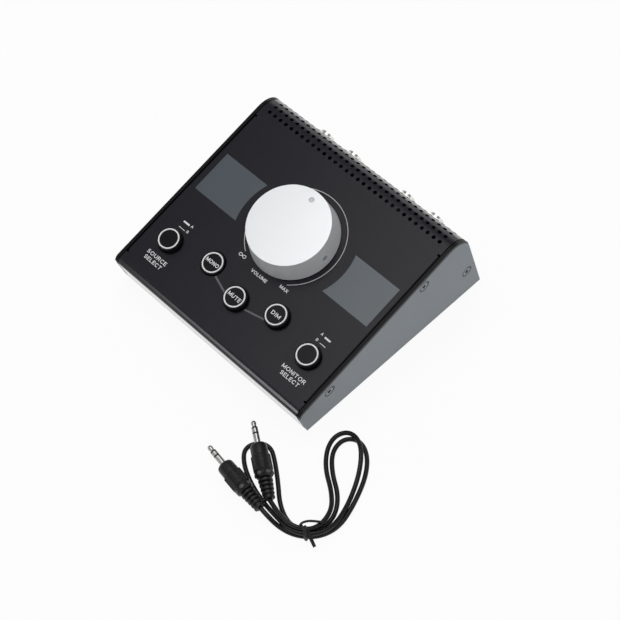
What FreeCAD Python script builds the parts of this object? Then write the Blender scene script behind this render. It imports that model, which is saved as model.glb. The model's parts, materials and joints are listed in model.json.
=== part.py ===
import FreeCAD, Part

import math
import os
import re

import Sketcher

# Studio monitor controller: a sloping desktop box of folded sheet steel with one volume knob, five
# push buttons and eight jack sockets, and a tied patch lead beside it. Millimetres, Z up. The origin
# is on the desk under the middle of the box, X runs to the right and Y to the rear.
#
# Everything on or in the box is drawn in the panel's own directions: X across, Y up the slope towards
# the rear and Z out of the panel, measured from the point where the knob's axis meets the panel. One
# placement then tilts each finished piece by the slope and lifts it onto the feet.

SIZES = {
    # box: reaches run from the knob's axis to the front and the rear face, along the panel
    "slope": 17.25,
    "case_width": 146.0,
    "front_reach": 73.9,
    "rear_reach": 58.7,
    "front_height": 22.4,
    "front_bend": 4.0,
    "rear_bend": 13.0,
    "sheet_gauge": 1.2,
    "foot_height": 2.0,
    # cover: the side flanges fold down between two relief notches
    "shadow_gap": 0.5,
    "cover_edge": 1.0,
    "flange_depth": 12.5,
    "notch_front_inset": 8.7,
    "notch_rear_inset": 5.2,
    "notch_width": 1.2,
    "notch_reach": 1.5,
    "rear_flange_width": 11.0,
    "rear_flange_top": 20.0,
    "rear_flange_foot": 52.0,
    # rim between the cover and each side of the tray
    "rim_width": 2.0,
    "rim_height": 2.2,
    "rim_leg": 3.2,
    "rim_leg_front_inset": 13.9,
    "rim_leg_rear_inset": 20.7,
    "rim_end": 0.25,
    # vents on the rear bend: a square grid whose rows follow the bend
    "vent_columns": 31,
    "vent_rows": 4,
    "vent_margin": 5.7,
    "vent_diameter": 2.3,
    "vent_first": 4.9,
    "vent_turn": 21.0,
    # side screws and the rivet nuts that take them
    "screw_front_inset": 22.3,
    "screw_front_depth": 7.8,
    "screw_middle_inset": 34.8,
    "screw_middle_depth": 7.0,
    "screw_rear_inset": 6.6,
    "screw_rear_depth": 39.4,
    "screw_diameter": 3.0,
    "screw_length": 7.0,
    "screw_head_diameter": 6.4,
    "screw_head_crown": 5.0,
    "screw_head_height": 1.7,
    "screw_key": 2.0,
    "screw_key_depth": 1.1,
    "screw_clearance": 0.1,
    "nut_body_diameter": 5.2,
    "nut_body_length": 4.5,
    "nut_collar_diameter": 6.6,
    # rubber feet, pushed through holes in the tray's floor
    "foot_diameter": 12.0,
    "foot_stem": 3.8,
    "foot_bulb": 5.6,
    "foot_bulb_height": 1.0,
    "foot_side_inset": 13.0,
    "foot_end_inset": 11.9,
    "foot_clearance": 0.1,
    # control board, hung from the cover
    "board_depth": 11.0,
    "board_thickness": 1.6,
    "board_side_gap": 5.8,
    "board_front_gap": 10.7,
    "standoff_diameter": 5.0,
    "standoff_side_inset": 5.0,
    "standoff_front_inset": 4.0,
    "standoff_rear_inset": 7.0,
    "board_screw_diameter": 2.5,
    "board_screw_head": 4.6,
    "board_screw_head_height": 1.5,
    "board_screw_grip": 6.0,
    "board_thread_spare": 0.5,
    "resistor_rows": 3,
    "resistor_columns": 6,
    "resistor_length": 3.2,
    "resistor_width": 1.6,
    "resistor_height": 0.6,
    "resistor_pitch": 15.0,
    "resistor_front": -25.0,
    "header_width": 24.0,
    "header_depth": 6.0,
    "header_height": 7.4,
    # jack board, upright behind the control board
    "jack_board_gap": 1.0,
    "jack_board_top": 17.0,
    "jack_board_floor_gap": 0.65,
    "jack_board_side_inset": 21.0,
    # eight jack sockets in two rows
    "jack_inner_across": 20.75,
    "jack_outer_inset": 30.5,
    "jack_lower_lift": 15.57,
    "jack_row_pitch": 19.5,
    "jack_length": 21.9,
    "jack_width": 13.5,
    "jack_height": 13.0,
    "jack_bushing": 9.5,
    "jack_bushing_reach": 5.0,
    "jack_bore": 6.5,
    "jack_bore_depth": 26.0,
    "jack_clearance": 0.15,
    "jack_washer_diameter": 13.6,
    "jack_washer_thickness": 0.6,
    "jack_nut_key": 12.7,
    "jack_nut_height": 2.4,
    "contact_width": 1.0,
    "contact_thickness": 0.5,
    "contact_tail": 1.4,
    "contact_pitch": 4.0,
    "contact_drop": 3.0,
    # one small socket between the two rows
    "mini_rise": 10.0,
    "mini_width": 9.0,
    "mini_height": 8.0,
    "mini_length": 12.0,
    "mini_bushing": 6.0,
    "mini_bushing_reach": 3.5,
    "mini_bore": 3.6,
    "mini_bore_depth": 14.0,
    "mini_nut_key": 8.0,
    "mini_nut_height": 2.0,
    # volume potentiometer
    "pot_width": 20.0,
    "pot_wall": 1.6,
    "pot_track_diameter": 16.6,
    "pot_track_height": 5.0,
    "pot_bushing": 7.0,
    "pot_bushing_rise": 3.8,
    "pot_clearance": 0.2,
    "pot_washer_diameter": 11.0,
    "pot_washer_thickness": 0.6,
    "pot_nut_key": 10.0,
    "pot_nut_height": 2.0,
    "shaft_diameter": 6.0,
    "shaft_rise": 12.0,
    "shaft_flat": 2.5,
    "shaft_flat_length": 7.8,
    "shaft_clearance": 0.05,
    "wiper_diameter": 15.8,
    "wiper_height": 1.0,
    "wiper_gap": 0.3,
    # volume knob: a turned shell over a moulded hub that grips the shaft
    "knob_lift": 0.7,
    "knob_height": 15.0,
    "knob_base_diameter": 51.8,
    "knob_top_diameter": 47.8,
    "knob_hollow_diameter": 45.0,
    "knob_roof": 3.0,
    "hub_diameter": 24.0,
    "hub_lift": 3.6,
    "dimple_diameter": 3.3,
    "dimple_depth": 0.8,
    "dimple_reach": 18.7,
    "set_screw_diameter": 3.0,
    "set_screw_length": 8.0,
    "set_screw_lift": 5.6,
    "set_screw_hole": 3.2,
    "set_screw_key": 1.5,
    "set_screw_key_depth": 2.0,
    # push buttons: places across and along the panel
    "outer_button_inset": 19.0,
    "source_along": -45.8,
    "inner_button_across": 25.2,
    "mono_along": -40.1,
    "mute_along": -47.1,
    "dim_along": -40.1,
    "monitor_along": -45.8,
    "button_diameter": 14.0,
    "button_hole": 15.2,
    "button_rise": 3.9,
    "button_travel": 2.5,
    "button_edge": 0.4,
    "cap_flange_diameter": 16.4,
    "cap_flange_thickness": 1.0,
    "cap_flange_gap": 0.2,
    "cap_wall": 1.4,
    "cap_roof": 1.5,
    "cap_boss": 5.6,
    "plunger_diameter": 3.5,
    "plunger_clearance": 0.05,
    "collar_diameter": 5.8,
    "collar_height": 0.8,
    "collar_gap": 0.1,
    "tail_diameter": 3.2,
    "tail_length": 0.8,
    "switch_width": 8.5,
    "switch_height": 5.5,
    "switch_wall": 0.6,
    "switch_chamber": 6.4,
    "spring_diameter": 5.2,
    "spring_wire": 0.5,
    # patch lead
    "lead_diameter": 2.6,
    "plug_diameter": 8.7,
    "plug_length": 20.0,
    "plug_nose": 2.6,
    "plug_nose_length": 1.56,
    "plug_heel": 1.0,
    "relief_rings": 5,
    "relief_ring_diameter": 7.4,
    "relief_ring_taper": 0.35,
    "relief_ring_thickness": 1.4,
    "relief_pitch": 2.4,
    "relief_core": 4.6,
    "pin_diameter": 3.5,
    "pin_length": 13.0,
    "pin_tip_diameter": 1.9,
    "pin_tip_length": 1.4,
    "pin_waist_diameter": 2.5,
    "pin_waist_length": 1.3,
    "pin_root": 8.0,
    "pin_root_play": 0.1,
    "tie_width": 3.5,
    "tie_thickness": 0.4,
    "tie_span": 8.4,
    "tie_rise": 7.0,
    "tie_corner": 2.0,
    "tie_tail_length": 6.5,
    "tie_tail_diameter": 1.2,
}

SCREWS = ("front", "middle", "rear")
BUTTONS = ("source", "mono", "mute", "dim", "monitor")
LATCHED_BUTTONS = ("mono",)

# The patch lead lies on the desk in three loops that a tie gathers: its route runs from plug b,
# flat on the desk, round the rear loop twice and the left loop between, and up to plug a.
LEAD_ROUTE = (
    (89.6, -117.8, 4.4), (95.6, -118.6, 4.4), (103.8, -118.8, 1.4), (112.4, -115.7, 1.9),
    (121.6, -108.3, 1.9), (126.6, -96.5, 1.4), (123.6, -82.0, 1.4), (115.6, -65.3, 1.4),
    (106.6, -55.1, 1.4), (97.0, -52.7, 1.4), (89.6, -58.1, 1.4), (90.8, -67.1, 1.4),
    (99.8, -75.7, 1.4), (111.6, -83.7, 1.4), (119.8, -93.3, 1.4), (120.2, -103.7, 1.9),
    (115.0, -110.9, 1.9), (104.5, -112.7, 1.4), (93.9, -108.9, 1.4), (83.6, -99.7, 1.4),
    (74.0, -90.5, 1.4), (65.0, -86.7, 1.4), (56.8, -89.5, 1.4), (54.6, -97.7, 1.4),
    (60.8, -105.5, 1.4), (72.0, -109.7, 1.4), (85.5, -112.9, 1.4), (98.0, -115.7, 1.4),
    (109.8, -116.8, 4.6), (120.0, -109.1, 4.8), (123.3, -98.7, 3.1), (119.4, -85.5, 1.4),
    (112.4, -70.9, 1.4), (106.2, -60.5, 4.7), (98.4, -53.1, 4.7), (89.2, -51.5, 3.4),
    (84.0, -57.7, 1.4), (86.4, -66.9, 1.4), (95.8, -77.3, 1.4), (108.6, -85.5, 1.4),
    (116.8, -94.7, 1.9), (118.4, -105.5, 4.8), (110.2, -112.7, 4.7), (98.8, -114.7, 5.0),
    (89.6, -110.4, 5.0),
)
PLUG_A_NOSE = (61.7, -92.8, 7.3)
TIE_PLACE = (115.1, -110.9, 0.05)
TIE_TURN = 37.7

FACING_RIGHT = (FreeCAD.Vector(0, 1, 0), 90)
FACING_LEFT = (FreeCAD.Vector(0, -1, 0), 90)
FACING_REAR = (FreeCAD.Vector(-1, 0, 0), 90)
FACING_OUT = (FreeCAD.Vector(0, 0, 1), 0)

# How far a cutting tool runs past the face that it opens, and how near two faces count as one
OVERCUT = 1
NEAR = 1e-4

# Levels and faces that several pieces share, as formulas on the sheet
COVER_HALF = "(case_width / 2 - rim_width - shadow_gap)"
TRAY_INSIDE = "(case_width / 2 - sheet_gauge)"
UNDERSIDE = "(-sheet_gauge)"
THROUGH_BOARD = f"(board_thickness + {2 * OVERCUT})"
BOARD_TOP = "(-board_depth)"
BOARD_BOTTOM = "(-board_depth - board_thickness)"
REAR_INSIDE = "(rear_reach - sheet_gauge)"
THROUGH_SHEET = f"(sheet_gauge + {2 * OVERCUT})"
JACK_BOARD_REAR = f"({REAR_INSIDE} - jack_length)"
JACK_BOARD_FRONT = f"({JACK_BOARD_REAR} - board_thickness)"
BOARD_HALF = "(case_width / 2 - board_side_gap - sheet_gauge)"
BOARD_FRONT = "(-front_reach + sheet_gauge + board_front_gap)"
BOARD_REAR = f"({JACK_BOARD_FRONT} - jack_board_gap)"
FLOOR_RISE = "(sheet_gauge / cos(slope))"
KNOB_TOP = "(knob_lift + knob_height)"
KNOB_CEILING = "(knob_lift + knob_height - knob_roof)"
HUB_FOOT = "(knob_lift + hub_lift)"
SET_SCREW_AXIS = "(knob_lift + set_screw_lift)"
SWITCH_TOP = "(-board_depth + switch_height)"
SWITCH_CEILING = "(-board_depth + switch_height - switch_wall)"
SWITCH_FLOOR = "(-board_depth + switch_wall)"
POT_FLOOR = "(-board_depth + pot_wall)"
POT_CEILING = "(-board_depth + pot_wall + pot_track_height)"

LOWER_JACKS = "(-front_height - (front_reach + rear_reach) * tan(slope) + jack_lower_lift)"
UPPER_JACKS = f"({LOWER_JACKS} + jack_row_pitch)"
MINI_ROW = f"({LOWER_JACKS} + mini_rise)"
ALONG = {
    "screw_front": "(-front_reach + screw_front_inset)",
    "screw_middle": "(rear_reach - screw_middle_inset)",
    "screw_rear": "(rear_reach - screw_rear_inset)",
    "foot_front": "(-front_reach + foot_end_inset)",
    "foot_rear": "(rear_reach - foot_end_inset)",
    "standoff_front": f"({BOARD_FRONT} + standoff_front_inset)",
    "standoff_rear": f"({BOARD_REAR} - standoff_rear_inset)",
    "notch_front": "(-front_reach + notch_front_inset)",
    "notch_rear": "(rear_reach - rear_bend - notch_rear_inset)",
}
BUTTON_ACROSS = {
    "source": "(-case_width / 2 + outer_button_inset)",
    "mono": "(-inner_button_across)",
    "mute": "0",
    "dim": "inner_button_across",
    "monitor": "(case_width / 2 - outer_button_inset)",
}

# Where the knob's axis meets the panel, above the desk and behind the middle of the box
KNOB_RISE = "(foot_height + front_reach * sin(slope) + front_height * cos(slope))"
FRONT_SPAN = "((front_reach - front_bend) * cos(slope) - front_bend * sin(slope) + front_bend)"
REAR_SPAN = ("((rear_reach + jack_bushing_reach) * cos(slope)"
             f" + (-{LOWER_JACKS} + jack_bushing / 2) * sin(slope))")
KNOB_BACK = f"(({FRONT_SPAN} - {REAR_SPAN}) / 2)"

doc = FreeCAD.newDocument("MonitorController")
sheet = doc.addObject("Spreadsheet::Sheet", "Sizes")
for row, (size_name, value) in enumerate(SIZES.items(), start=1):
    sheet.set(f"A{row}", str(value))
    sheet.setAlias(f"A{row}", size_name)
doc.recompute()
nodes = []


def on_sheet(formula):
    """Write a formula's size names as cells of the sheet."""
    return re.sub(r"[a-z][a-z_]*", lambda word: f"Sizes.{word[0]}" if word[0] in SIZES else word[0],
                  str(formula))


def bind(thing, **formulas):
    for name, formula in formulas.items():
        thing.setExpression(name, on_sheet(formula))


def put(thing, across, along, rise, facing=FACING_OUT):
    """Turn a thing to its facing and bind its place."""
    thing.Placement = FreeCAD.Placement(FreeCAD.Vector(), FreeCAD.Rotation(*facing))
    for axis, formula in zip("xyz", (across, along, rise)):
        thing.setExpression(f"Placement.Base.{axis}", on_sheet(formula))
    return thing


def block(name, across, along, rise, width, depth, height):
    """A box from its left, front and lowest corner."""
    solid = doc.addObject("Part::Box", name)
    bind(solid, Length=width, Width=depth, Height=height)
    return put(solid, across, along, rise)


def centred_block(name, across, along, rise, width, depth, height):
    return block(name, f"{across} - ({width}) / 2", f"{along} - ({depth}) / 2", rise, width, depth,
                 height)


def rod(name, across, along, rise, diameter, length, facing=FACING_OUT):
    """A cylinder that starts at a point of its axis."""
    solid = doc.addObject("Part::Cylinder", name)
    bind(solid, Radius=f"({diameter}) / 2", Height=length)
    return put(solid, across, along, rise, facing)


def cone(name, across, along, rise, diameter, far_diameter, length, facing=FACING_OUT):
    solid = doc.addObject("Part::Cone", name)
    bind(solid, Radius1=f"({diameter}) / 2", Radius2=f"({far_diameter}) / 2", Height=length)
    return put(solid, across, along, rise, facing)


def hexagon(name, across, along, rise, key, height, facing=FACING_OUT):
    """A six-sided prism, given across its flats."""
    solid = doc.addObject("Part::Prism", name)
    solid.Polygon = 6
    bind(solid, Circumradius=f"({key}) / 2 / cos(30)", Height=height)
    return put(solid, across, along, rise, facing)


def group(name, solids):
    bundle = doc.addObject("Part::Compound", name)
    bundle.Links = list(solids)
    return bundle


def fuse(name, *solids):
    joined = doc.addObject("Part::MultiFuse", name)
    joined.Shapes = list(solids)
    joined.Refine = True
    return joined


def cut(name, base, *tools):
    """Take one tool, or several tools that don't meet each other, from a base."""
    removed = doc.addObject("Part::Cut", name)
    removed.Base = base
    removed.Tool = tools[0] if len(tools) == 1 else group(f"{name}_tools", tools)
    return removed


def node(label, solid):
    """Name a finished piece of the desk's own frame."""
    solid.Label = label
    nodes.append(solid)
    return solid


def panel_node(label, solid):
    """Tilt a finished piece of the box by the slope and lift it onto the feet."""
    put(solid, 0, KNOB_BACK, KNOB_RISE, (FreeCAD.Vector(1, 0, 0), SIZES["slope"]))
    solid.setExpression("Placement.Rotation.Angle", on_sheet("slope"))
    return node(label, solid)


def loose_panel_node(label, solids):
    """Several solids of one kind, or one bare primitive, as a node of the box."""
    return panel_node(label, group(f"{label}_group", solids))


def tray_bottom(along):
    """Level of the box's flat bottom, which slopes when seen from the panel."""
    return f"(-front_height - (({along}) + front_reach) * tan(slope))"


def run_edge(shape, along, rise):
    """Name the edge that runs across the box at one corner of its outline."""
    for index, edge in enumerate(shape.Edges, start=1):
        spot = edge.CenterOfMass
        straight = edge.BoundBox.YLength < NEAR and edge.BoundBox.ZLength < NEAR
        if straight and math.hypot(spot.y - along, spot.z - rise) < NEAR:
            return f"Edge{index}"
    raise ValueError(f"no edge at {along}, {rise}")


def outline_body(name, half_width, front, rear, top, front_side, bends=()):
    """The box's side outline, flat below and rounded above, pushed across the width."""
    body = doc.addObject("PartDesign::Body", name)
    sketch = body.newObject("Sketcher::SketchObject", f"{name}_outline")
    plane = next(face for face in body.Origin.OriginFeatures if face.Role == "YZ_Plane")
    sketch.AttachmentSupport = [(plane, "")]
    sketch.MapMode = "FlatFace"
    low, high, deep = -SIZES["front_reach"], SIZES["rear_reach"], -SIZES["front_height"]
    first_guess = 50.0
    corners = [FreeCAD.Vector(*spot) for spot in ((low, deep), (high, 2 * deep), (high, 0), (low, 0))]
    for start, finish in zip(corners, corners[1:] + corners[:1]):
        sketch.addGeometry(Part.LineSegment(start, finish))
    bottom_line, rear_line, top_line, front_line = range(4)
    for line in range(4):
        sketch.addConstraint(Sketcher.Constraint("Coincident", line, 2, (line + 1) % 4, 1))
    sketch.addConstraint(Sketcher.Constraint("Vertical", rear_line))
    sketch.addConstraint(Sketcher.Constraint("Vertical", front_line))
    sketch.addConstraint(Sketcher.Constraint("Horizontal", top_line))
    sketch.addConstraint(Sketcher.Constraint("PointOnObject", top_line, 1, -1))
    lengths = {
        ("DistanceX", top_line, 2, -1, 1): front,
        ("DistanceX", -1, 1, top_line, 1): rear,
        ("DistanceY", front_line, 2, front_line, 1): front_side,
        ("DistanceY", rear_line, 1, rear_line, 2): f"{front_side} + ({front} + {rear}) * tan(slope)",
    }
    for (kind, *ends), formula in lengths.items():
        index = sketch.addConstraint(Sketcher.Constraint(kind, *ends, first_guess))
        sketch.setExpression(f"Constraints[{index}]", on_sheet(formula))
    sketch.setExpression("AttachmentOffset.Base.y", on_sheet(top))
    sketch.setExpression("AttachmentOffset.Base.z", on_sheet(f"-{half_width}"))
    pad = body.newObject("PartDesign::Pad", f"{name}_pad")
    pad.Profile = sketch
    bind(pad, Length=f"2 * {half_width}")
    doc.recompute()
    outline = pad.Shape.BoundBox
    base = pad
    for bend, along in zip(bends, (outline.YMin, outline.YMax)):
        fillet = body.newObject("PartDesign::Fillet", f"{name}_bend")
        fillet.Base = (base, [run_edge(base.Shape, along, outline.ZMax)])
        bind(fillet, Radius=bend)
        doc.recompute()
        base = fillet
    return body


# Cover: front, top and rear in one folded sheet, whose walls end on the tray's floor
BENDS = ("front_bend", "rear_bend")
INNER_BENDS = ("front_bend - sheet_gauge", "rear_bend - sheet_gauge")
cover_outside = outline_body("cover_outside", COVER_HALF, "front_reach", "rear_reach", "0",
                             f"(front_height - {FLOOR_RISE})", BENDS)
cover_inside = outline_body("cover_inside", f"({COVER_HALF} + {OVERCUT})",
                            "(front_reach - sheet_gauge)", REAR_INSIDE, UNDERSIDE,
                            f"(front_height + {OVERCUT})", INNER_BENDS)
folded_sheet = cut("folded_sheet", cover_outside, cover_inside)
flanges = []
for side, edge in (("left", f"(-{COVER_HALF})"), ("right", f"({COVER_HALF} - sheet_gauge)")):
    flanges.append(block(f"flange_{side}", edge, ALONG["notch_front"], "-flange_depth", "sheet_gauge",
                         f"{ALONG['notch_rear']} - {ALONG['notch_front']}",
                         "flange_depth - sheet_gauge"))
    flanges.append(block(f"rear_flange_{side}", edge, f"{REAR_INSIDE} - rear_flange_width",
                         "-rear_flange_foot", "sheet_gauge", "rear_flange_width",
                         "rear_flange_foot - rear_flange_top"))
blank = fuse("cover_blank", folded_sheet, *flanges)

vents = []
for row in range(int(SIZES["vent_rows"])):
    angle = f"(vent_first + {row} * vent_turn)"
    start = "(rear_bend - 2 * sheet_gauge)"
    for column in range(int(SIZES["vent_columns"])):
        vent = rod(f"vent_{row}_{column}",
                   f"(2 * {column} / (vent_columns - 1) - 1) * ({COVER_HALF} - vent_margin)",
                   f"rear_reach - rear_bend + {start} * sin({angle})",
                   f"-rear_bend + {start} * cos({angle})", "vent_diameter", "3 * sheet_gauge",
                   (FreeCAD.Vector(-1, 0, 0), SIZES["vent_turn"]))
        vent.setExpression("Placement.Rotation.Angle", on_sheet(angle))
        vents.append(vent)
vented = cut("cover_vented", blank, *vents)

openings = [rod("pot_hole", 0, 0, "-2 * sheet_gauge", "pot_bushing + 2 * pot_clearance",
                "3 * sheet_gauge")]
for button in BUTTONS:
    openings.append(rod(f"{button}_hole", BUTTON_ACROSS[button], f"{button}_along",
                        "-2 * sheet_gauge", "button_hole", "3 * sheet_gauge"))
JACKS = {}
for side, sign in (("left", "-"), ("right", "")):
    for column, across in (("outer", "(case_width / 2 - jack_outer_inset)"),
                           ("inner", "jack_inner_across")):
        for level, rise in (("upper", UPPER_JACKS), ("lower", LOWER_JACKS)):
            JACKS[f"{side}_{column}_{level}"] = (f"({sign}{across})", rise)
for jack, (across, rise) in JACKS.items():
    openings.append(rod(f"jack_hole_{jack}", across, f"{REAR_INSIDE} - {OVERCUT}", rise,
                        "jack_bushing + 2 * jack_clearance", THROUGH_SHEET, FACING_REAR))
openings.append(rod("mini_hole", 0, f"{REAR_INSIDE} - {OVERCUT}", MINI_ROW,
                    "mini_bushing + 2 * jack_clearance", THROUGH_SHEET, FACING_REAR))
for screw in SCREWS:
    for side, facing, edge in (("left", FACING_LEFT, f"(-{COVER_HALF} + 2 * sheet_gauge)"),
                               ("right", FACING_RIGHT, f"({COVER_HALF} - 2 * sheet_gauge)")):
        openings.append(rod(f"nut_hole_{screw}_{side}", edge, ALONG[f"screw_{screw}"],
                            f"-screw_{screw}_depth", "nut_body_diameter + 2 * screw_clearance",
                            "3 * sheet_gauge", facing))
for side, edge in (("left", f"(-{COVER_HALF} - {OVERCUT})"), ("right", f"({COVER_HALF} - notch_reach)")):
    for end in ("front", "rear"):
        openings.append(block(f"notch_{end}_{side}", edge, f"{ALONG[f'notch_{end}']} - notch_width / 2",
                              f"-flange_depth - {OVERCUT}", f"notch_reach + {OVERCUT}",
                              "notch_width", f"flange_depth + {2 * OVERCUT}"))
pierced = cut("cover_pierced", vented, *openings)
doc.recompute()

top_edges = []
for index, edge in enumerate(pierced.Shape.Edges, start=1):
    spot = edge.CenterOfMass
    along_the_side = edge.BoundBox.YLength > SIZES["front_reach"] and edge.BoundBox.XLength < NEAR
    if along_the_side and abs(spot.z) < NEAR:
        top_edges.append((index, SIZES["cover_edge"], SIZES["cover_edge"]))
top_cover = doc.addObject("Part::Fillet", "cover_folded")
top_cover.Base = pierced
top_cover.Edges = top_edges
panel_node("top_cover", top_cover)

# Tray: floor and two grey sides in one folded sheet, with holes for the screws and the feet
tray_outside = outline_body("tray_outside", "(case_width / 2)", "front_reach", "rear_reach",
                            "-rim_height", "(front_height - rim_height)", BENDS)
tray_inside = outline_body("tray_inside", TRAY_INSIDE, f"(front_reach + {OVERCUT})",
                           f"(rear_reach + {OVERCUT})", OVERCUT,
                           f"(front_height + {OVERCUT} - {FLOOR_RISE} - {OVERCUT} * tan(slope))")
folded_tray = cut("folded_tray", tray_outside, tray_inside)
tray_holes = []
for screw in SCREWS:
    for side, facing, sign in (("left", FACING_LEFT, "-"), ("right", FACING_RIGHT, "")):
        tray_holes.append(rod(f"tray_screw_hole_{screw}_{side}", f"{sign}({TRAY_INSIDE} - {OVERCUT})",
                              ALONG[f"screw_{screw}"], f"-screw_{screw}_depth",
                              "screw_diameter + 4 * screw_clearance", THROUGH_SHEET, facing))


def upright_rod(name, across, along, height, diameter, length):
    """A rod that stands upright on the desk, from a height above the box's bottom."""
    solid = rod(name, across, f"{along} + ({height}) * sin(slope)",
                f"{tray_bottom(along)} + ({height}) * cos(slope)", diameter, length,
                (FreeCAD.Vector(-1, 0, 0), SIZES["slope"]))
    solid.setExpression("Placement.Rotation.Angle", on_sheet("slope"))
    return solid


rubber_feet = []
for end in ("front", "rear"):
    for side, sign in (("left", "-"), ("right", "")):
        spot = (f"{sign}(case_width / 2 - foot_side_inset)", ALONG[f"foot_{end}"])
        tray_holes.append(upright_rod(f"foot_hole_{end}_{side}", *spot, -OVERCUT,
                                      "foot_stem + 2 * foot_clearance", THROUGH_SHEET))
        rubber_feet.append(fuse(
            f"foot_{end}_{side}",
            upright_rod(f"foot_pad_{end}_{side}", *spot, "-foot_height", "foot_diameter",
                        "foot_height"),
            upright_rod(f"foot_stem_{end}_{side}", *spot, "-foot_height", "foot_stem",
                        "foot_height + sheet_gauge + foot_bulb_height"),
            upright_rod(f"foot_bulb_{end}_{side}", *spot, "sheet_gauge", "foot_bulb",
                        "foot_bulb_height")))
panel_node("base_tray", cut("drilled_tray", folded_tray, *tray_holes))
loose_panel_node("rubber_feet", rubber_feet)

# Rim: a black strip on each side's top edge, flush with the cover, with a leg inside the side
for side, low, leg in (("left", "(-case_width / 2)", "(-case_width / 2 + sheet_gauge)"),
                       ("right", "(case_width / 2 - rim_width)", "(case_width / 2 - rim_width)")):
    slab = outline_body(f"rim_slab_{side}", "(case_width / 2)", "front_reach", "rear_reach", "0",
                        "(front_bend + rim_height)", BENDS)
    below = outline_body(f"rim_below_{side}", f"(case_width / 2 + {OVERCUT})", "front_reach",
                         "rear_reach", "-rim_height", "front_height", BENDS)
    strip = doc.addObject("Part::Common", f"rim_strip_{side}")
    strip.Base = cut(f"rim_shell_{side}", slab, below)
    strip.Tool = block(f"rim_window_{side}", low, "rim_end - front_reach", "-front_height",
                       "rim_width", "front_reach + rear_reach - 2 * rim_end",
                       f"front_height + {OVERCUT}")
    panel_node(f"edge_trim_{side}", fuse(
        f"rim_{side}", strip,
        block(f"rim_leg_{side}", leg, "-front_reach + rim_leg_front_inset", "-rim_leg",
              "rim_width - sheet_gauge",
              "front_reach - rim_leg_front_inset + rear_reach - rim_leg_rear_inset",
              "rim_leg - rim_height / 2")))

# Side screws and their rivet nuts, set in the cover's flanges
side_screws = []
cover_inserts = []
for screw in SCREWS:
    for side, facing, sign in (("left", FACING_LEFT, "-"), ("right", FACING_RIGHT, "")):
        name = f"{screw}_{side}"
        axis = (ALONG[f"screw_{screw}"], f"-screw_{screw}_depth")
        head = cone(f"screw_head_{name}", f"{sign}(case_width / 2)", *axis, "screw_head_diameter",
                    "screw_head_crown", "screw_head_height", facing)
        shank = rod(f"screw_shank_{name}", f"{sign}(case_width / 2 - screw_length)", *axis,
                    "screw_diameter", "screw_length + screw_head_height / 2", facing)
        key = hexagon(f"screw_key_{name}",
                      f"{sign}(case_width / 2 + screw_head_height - screw_key_depth)", *axis,
                      "screw_key", f"screw_key_depth + {OVERCUT}", facing)
        side_screws.append(cut(f"screw_{name}", fuse(f"screw_blank_{name}", head, shank), key))
        barrel = rod(f"nut_barrel_{name}", f"{sign}({COVER_HALF} - nut_body_length)", *axis,
                     "nut_body_diameter", f"nut_body_length + {TRAY_INSIDE} - {COVER_HALF}", facing)
        collar = rod(f"nut_collar_{name}", f"{sign}{COVER_HALF}", *axis, "nut_collar_diameter",
                     f"{TRAY_INSIDE} - {COVER_HALF}", facing)
        thread = rod(f"nut_thread_{name}", f"{sign}({COVER_HALF} - nut_body_length - {OVERCUT})", *axis,
                     "screw_diameter + screw_clearance",
                     f"nut_body_length + {TRAY_INSIDE} - {COVER_HALF} + {2 * OVERCUT}", facing)
        cover_inserts.append(cut(f"nut_{name}", fuse(f"nut_blank_{name}", barrel, collar), thread))
loose_panel_node("side_screws", side_screws)
loose_panel_node("cover_inserts", cover_inserts)

# Control board: hung on four standoffs under the cover, with its resistors below
standoffs = []
board_screws = []
board_holes = []
for end in ("front", "rear"):
    for side, sign in (("left", "-"), ("right", "")):
        name = f"{end}_{side}"
        spot = (f"{sign}({BOARD_HALF} - standoff_side_inset)", ALONG[f"standoff_{end}"])
        sleeve = rod(f"sleeve_{name}", *spot, BOARD_TOP, "standoff_diameter",
                     "board_depth - sheet_gauge")
        thread = rod(f"sleeve_thread_{name}", *spot, f"{BOARD_TOP} - {OVERCUT}",
                     "board_screw_diameter + screw_clearance",
                     f"board_screw_grip + board_thread_spare + {OVERCUT}")
        standoffs.append(cut(f"standoff_{name}", sleeve, thread))
        board_holes.append(rod(f"board_hole_{name}", *spot, f"{BOARD_BOTTOM} - {OVERCUT}",
                               "board_screw_diameter + 2 * screw_clearance", THROUGH_BOARD))
        board_screws.append(fuse(
            f"board_screw_{name}",
            rod(f"board_screw_head_{name}", *spot, f"{BOARD_BOTTOM} - board_screw_head_height",
                "board_screw_head", "board_screw_head_height"),
            rod(f"board_screw_shank_{name}", *spot, f"{BOARD_BOTTOM} - board_screw_head_height",
                "board_screw_diameter",
                "board_screw_head_height + board_thickness + board_screw_grip")))
board = block("board_blank", f"-{BOARD_HALF}", BOARD_FRONT, BOARD_BOTTOM, f"2 * {BOARD_HALF}",
              f"{BOARD_REAR} - {BOARD_FRONT}", "board_thickness")
panel_node("control_board", cut("board_drilled", board, *board_holes))
loose_panel_node("board_standoffs", standoffs)
loose_panel_node("board_screws", board_screws)
loose_panel_node("resistors", [
    centred_block(f"resistor_{row}_{column}", f"({column} - (resistor_columns - 1) / 2) * resistor_pitch",
                  f"resistor_front + {row} * resistor_pitch", f"{BOARD_BOTTOM} - resistor_height",
                  "resistor_length", "resistor_width", "resistor_height")
    for row in range(int(SIZES["resistor_rows"])) for column in range(int(SIZES["resistor_columns"]))])
panel_node("link_header", group("link_header_group", [
    block("header_block", "-header_width / 2", f"{JACK_BOARD_FRONT} - header_depth",
          f"{BOARD_BOTTOM} - header_height", "header_width", "header_depth", "header_height")]))

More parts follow.
